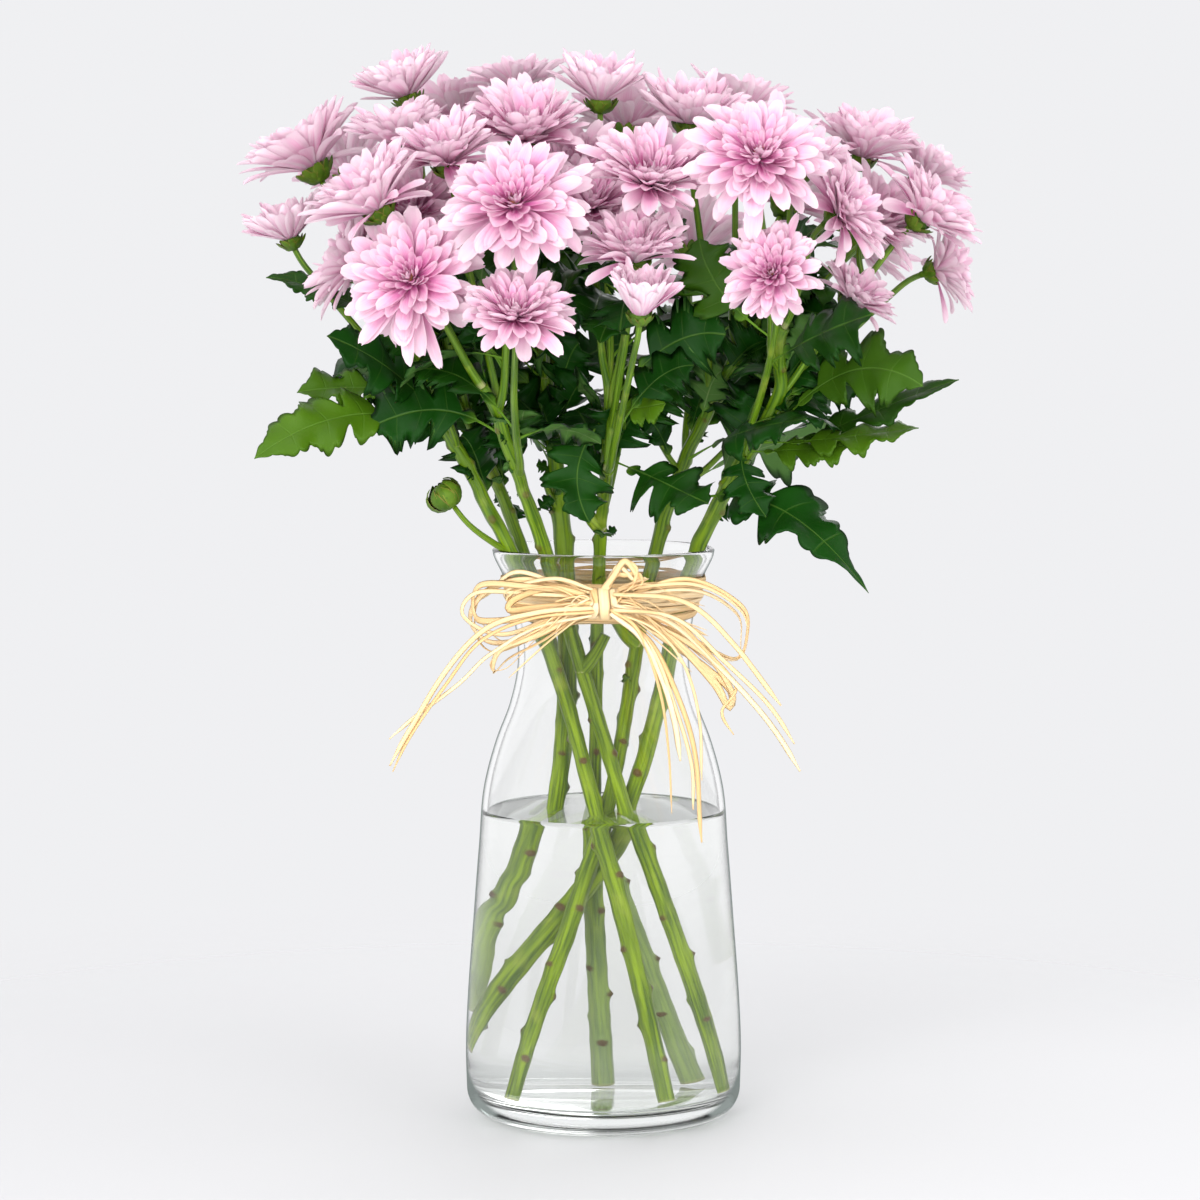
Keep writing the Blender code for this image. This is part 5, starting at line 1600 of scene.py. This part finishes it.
# %% [markdown]
# Behind the large leaves grows the dense dark foliage of the flowering tops: many smaller
# leaves at the joints of the stems. They are scattered by rule, always in the same way. Each
# one grows outwards, sags a little under its own weight, and faces roughly up and forwards.

# %% A small leaf, and the room it may take
LEAN_FORWARDS = (0, -0.5, 0)
BUNCH_REACH, BUNCH_SHOULDER, BUNCH_LOWEST = 0.106, 0.332, 0.278        # metres


def foliage_leaf(place, rng, long, lift):
    """A smaller leaf that grows outwards from a place on a stem."""
    outward = unit(place * (1, 1, 0) + rng.normal(size=3) * (0.035, 0.035, 0))
    heading = unit(outward + (0, 0, lift))
    tip = place + heading * long + (0, 0, -0.18 * long)
    middle = place + heading * long * 0.5 + (0, 0, 0.06 * long)
    upright = np.cross(np.cross(heading, (0, 0, 1.0)), heading)
    normal = unit(upright + rng.normal(size=3) * 0.55 + LEAN_FORWARDS)
    return leaf(place, middle, tip, normal, long * rng.uniform(0.55, 0.75), rng, 5,
                young=rng.uniform(-0.3, 0.15), rows=FOLIAGE_ROWS)


def inside_bunch(spots):
    """True where a leaf stays within the bunch's own outline."""
    x, z = np.abs(spots[:, 0]), spots[:, 2]
    beside = (x > BUNCH_REACH) & (z > BUNCH_SHOULDER)
    return not beside.any() and not (z < BUNCH_LOWEST + np.clip(x - 0.05, 0, 1) * 0.30).any()


BLOOM_MIDDLES = np.array([seat + facing * 0.5 * reach for seat, facing, reach, _ in heads.values()])
BLOOM_SIZES = np.array([reach for _, _, reach, _ in heads.values()])


def clear_of_blooms(spots):
    """True where no point is inside a bloom, or in front of one."""
    away = spots[:, None] - BLOOM_MIDDLES[None]
    inside = (np.linalg.norm(away, axis=2) < 1.12 * BLOOM_SIZES).any()
    front = (away[..., 1] < 0) & (away[..., 1] > -0.05) & (BLOOM_MIDDLES[:, 1] < -0.02)
    beside = np.hypot(away[..., 0], away[..., 2]) < 0.9 * BLOOM_SIZES
    return not inside and not (front & beside).any()


print("blooms that the leaves keep clear of:", len(BLOOM_SIZES))

# %% [markdown]
# Four kinds of leaves grow on a stalk: the crowns below its heads, upright leaves close to
# the stalk, small ones under them, and two tiny ones that were left on inside the neck. Of
# the first two kinds, a leaf that would cover a bloom or leave the bunch is not drawn, and
# the crowns also leave the view of the stems free. One piece holds all leaves of a stalk.

# %% Grow the foliage
CROWN_LOW, CROWN_HIGH = 0.286, 0.378
ON_STALK, ON_FLOWER_STEM = 14, 7        # most leaves of a crown on each line


def joints(run, low, high, rng, most=None):
    """Places on a stem between two heights, in a random order."""
    between = run[(run[:, 2] > low) & (run[:, 2] < high)]
    return between[rng.permutation(len(between))[:most]]


def crown(run, rng, most):
    """The larger leaves of one stem below its heads."""
    leaves = []
    for place in joints(run, CROWN_LOW, CROWN_HIGH, rng):
        long = rng.uniform(0.038, 0.064) * (0.8 if place[2] > 0.36 else 1.0)
        part = foliage_leaf(place, rng, long, rng.uniform(-0.1, 1.3))
        behind = part[0][:, 1].min() > min(place[1] - 0.010, -0.016) or place[2] > 0.350
        if len(leaves) < most and behind and inside_bunch(part[0]) and clear_of_blooms(part[0]):
            leaves.append(part)
    return leaves


for number, (name, (line, _)) in enumerate(stalks.items()):
    rng = chance("foliage", number)
    parts = crown(line, rng, ON_STALK)
    for run, _, owner in stems.values():
        if owner == name:
            parts += crown(run, rng, ON_FLOWER_STEM)
    for place in joints(line, 0.262, 0.318, rng, 5):        # upright leaves
        part = foliage_leaf(place, rng, rng.uniform(0.034, 0.052), rng.uniform(1.6, 3.2))
        if inside_bunch(part[0] + (0, 0, 0.03)) and clear_of_blooms(part[0]):
            parts.append(part)
    for place in joints(line, 0.250, 0.305, rng, 5):        # small ones under them
        parts.append(foliage_leaf(place, rng, rng.uniform(0.009, 0.019), rng.uniform(0.3, 1.8)))
    for place in joints(line, 0.150, 0.240, rng, 2):        # tiny ones inside the neck
        parts.append(foliage_leaf(place, rng, rng.uniform(0.006, 0.010), rng.uniform(0.6, 2.0)))
    make_piece("foliage_" + name[-1], joined(parts), [LEAF])
    print("foliage on", name, len(parts), "leaves")

# %% [markdown]
# ## Light and ground
# The bunch stands in a bright, even studio. The sky is plain and pale where we look at it,
# and a little brighter where it only gives light. What the glass mirrors or bends is a room
# of its own: dim in front of the vase, so that no white veil lies on the stalks, and a
# little darker at both sides, which draws the edges of the glass.

# %% The sky
BACKDROP = (0.868, 0.870, 0.888)
world = bpy.data.worlds.new("studio")
bpy.context.scene.world = world
sky = Bench(world, "OutputWorld")
direction = sky.node("TexCoord", output=0)
sideways, forwards, upwards = (sky.axis(direction, number) for number in range(3))
bright = sky.mixed(sky.fade(upwards, 0.25, 0.9), (1.04, 1.04, 1.06), (1.16, 1.16, 1.18))
passed = sky.node("LightPath", output=6)            # rays that left the glass by going through it
front = sky.mixed(passed, (0.08, 0.08, 0.08), (0.62, 0.62, 0.63))
wall_colour = sky.mixed(sky.fade(forwards, -0.30, 0.45), front, (0.97, 0.97, 0.985))
dark_sides = sky.fade(sideways * sideways, 0.50, 0.90)
wall_colour = sky.mixed(dark_sides, wall_colour, (0.62, 0.63, 0.63))
bent = sky.node("LightPath", output=4)              # rays that glass has bent or mirrored
seen = sky.node("LightPath", output=0)              # rays that come straight from the eye
colour = sky.mixed(seen, sky.mixed(bent, bright, wall_colour), BACKDROP)
sky.finish(sky.node("Background", None, {"Color": colour, "Strength": 1.0}))

# %% [markdown]
# The table is one wide disc, pale and matt. It slowly turns clear before its edge, so no
# line shows where it ends and the sky begins, and the vase still casts its soft shadow. It
# belongs to the set and not to the object.

# %% The floor
FLOOR_RADIUS, FLOOR_SIDES = 0.64, 96
FLOOR_DROP = 0.0001         # how far the floor lies under the vase's foot


def floor_finish():
    """Matt white that fades to nothing away from the vase."""
    bench = new_bench("floor")
    place = bench.object_place()
    clear = bench.fade(bench.length(place), 0.22, 0.62)
    grain = bench.noise(place, 400.0, 2.0)
    body = bench.node("BsdfPrincipled", None, {"Base Color": (0.545, 0.545, 0.552), "Roughness": 0.6,
                                               "Specular IOR Level": 0.25,
                                               "Normal": bench.bumped(grain, 0.0001, 0.2)})
    gone = bench.node("BsdfTransparent")
    return bench.finish(bench.node("MixShader", None, {0: clear, 1: body, 2: gone}))


turn = np.linspace(0, FULL_TURN, FLOOR_SIDES, endpoint=False)
rim = np.stack([FLOOR_RADIUS * np.cos(turn), FLOOR_RADIUS * np.sin(turn),
                np.full(FLOOR_SIDES, -FLOOR_DROP)], 1)
mesh = bpy.data.meshes.new("floor")
mesh.from_pydata([tuple(p) for p in rim], [], [tuple(range(FLOOR_SIDES))])
mesh.materials.append(floor_finish())
ground = bpy.data.objects.new("floor", mesh)
bpy.context.scene.collection.objects.link(ground)
print("floor:", FLOOR_RADIUS, "metres in radius")

# %% [markdown]
# Large soft lamps above and in front give the petals their shape, and a weaker one behind
# draws a light rim. Only the one behind may show in the glass, where it makes the small
# highlights; the others would lie on the vase as white squares.

# %% Lamps
def lamp(name, place, target, size, power, mirrored=False):
    """A square soft lamp that faces a target; most lamps don't show up in the glass."""
    data = bpy.data.lights.new(name, "AREA")
    data.shape, data.size, data.energy = "SQUARE", size, power
    obj = bpy.data.objects.new(name, data)
    obj.location = place
    obj.rotation_euler = (Vector(target) - Vector(place)).to_track_quat("-Z", "Y").to_euler()
    obj.visible_glossy = obj.visible_transmission = mirrored
    bpy.context.scene.collection.objects.link(obj)
    print("lamp:", name, power, "watts")


MIDDLE = (0, 0, 0.34)
lamp("key", (-0.7, -1.5, 1.35), MIDDLE, 0.9, 20.0)
lamp("fill", (1.2, -1.4, 0.60), MIDDLE, 1.0, 15.0)
lamp("front", (-0.3, -1.9, 0.10), (0, 0, 0.42), 1.0, 25.0)
lamp("back", (0.5, 1.3, 1.1), MIDDLE, 0.9, 7.0, True)

# %% [markdown]
# Light has to pass through two walls of glass and the water on each side of a stalk, which
# takes more bounces than a plain scene needs. The Standard view keeps the whites white.

# %% Bounces and colours
scene = bpy.context.scene
scene.view_settings.view_transform = "Standard"
scene.cycles.use_denoising = True
scene.cycles.max_bounces = 16
scene.cycles.diffuse_bounces = 5
scene.cycles.glossy_bounces = 5
scene.cycles.transmission_bounces = 14
scene.cycles.transparent_max_bounces = 16
scene.cycles.sample_clamp_indirect = 6.0
print("bounces:", scene.cycles.max_bounces)
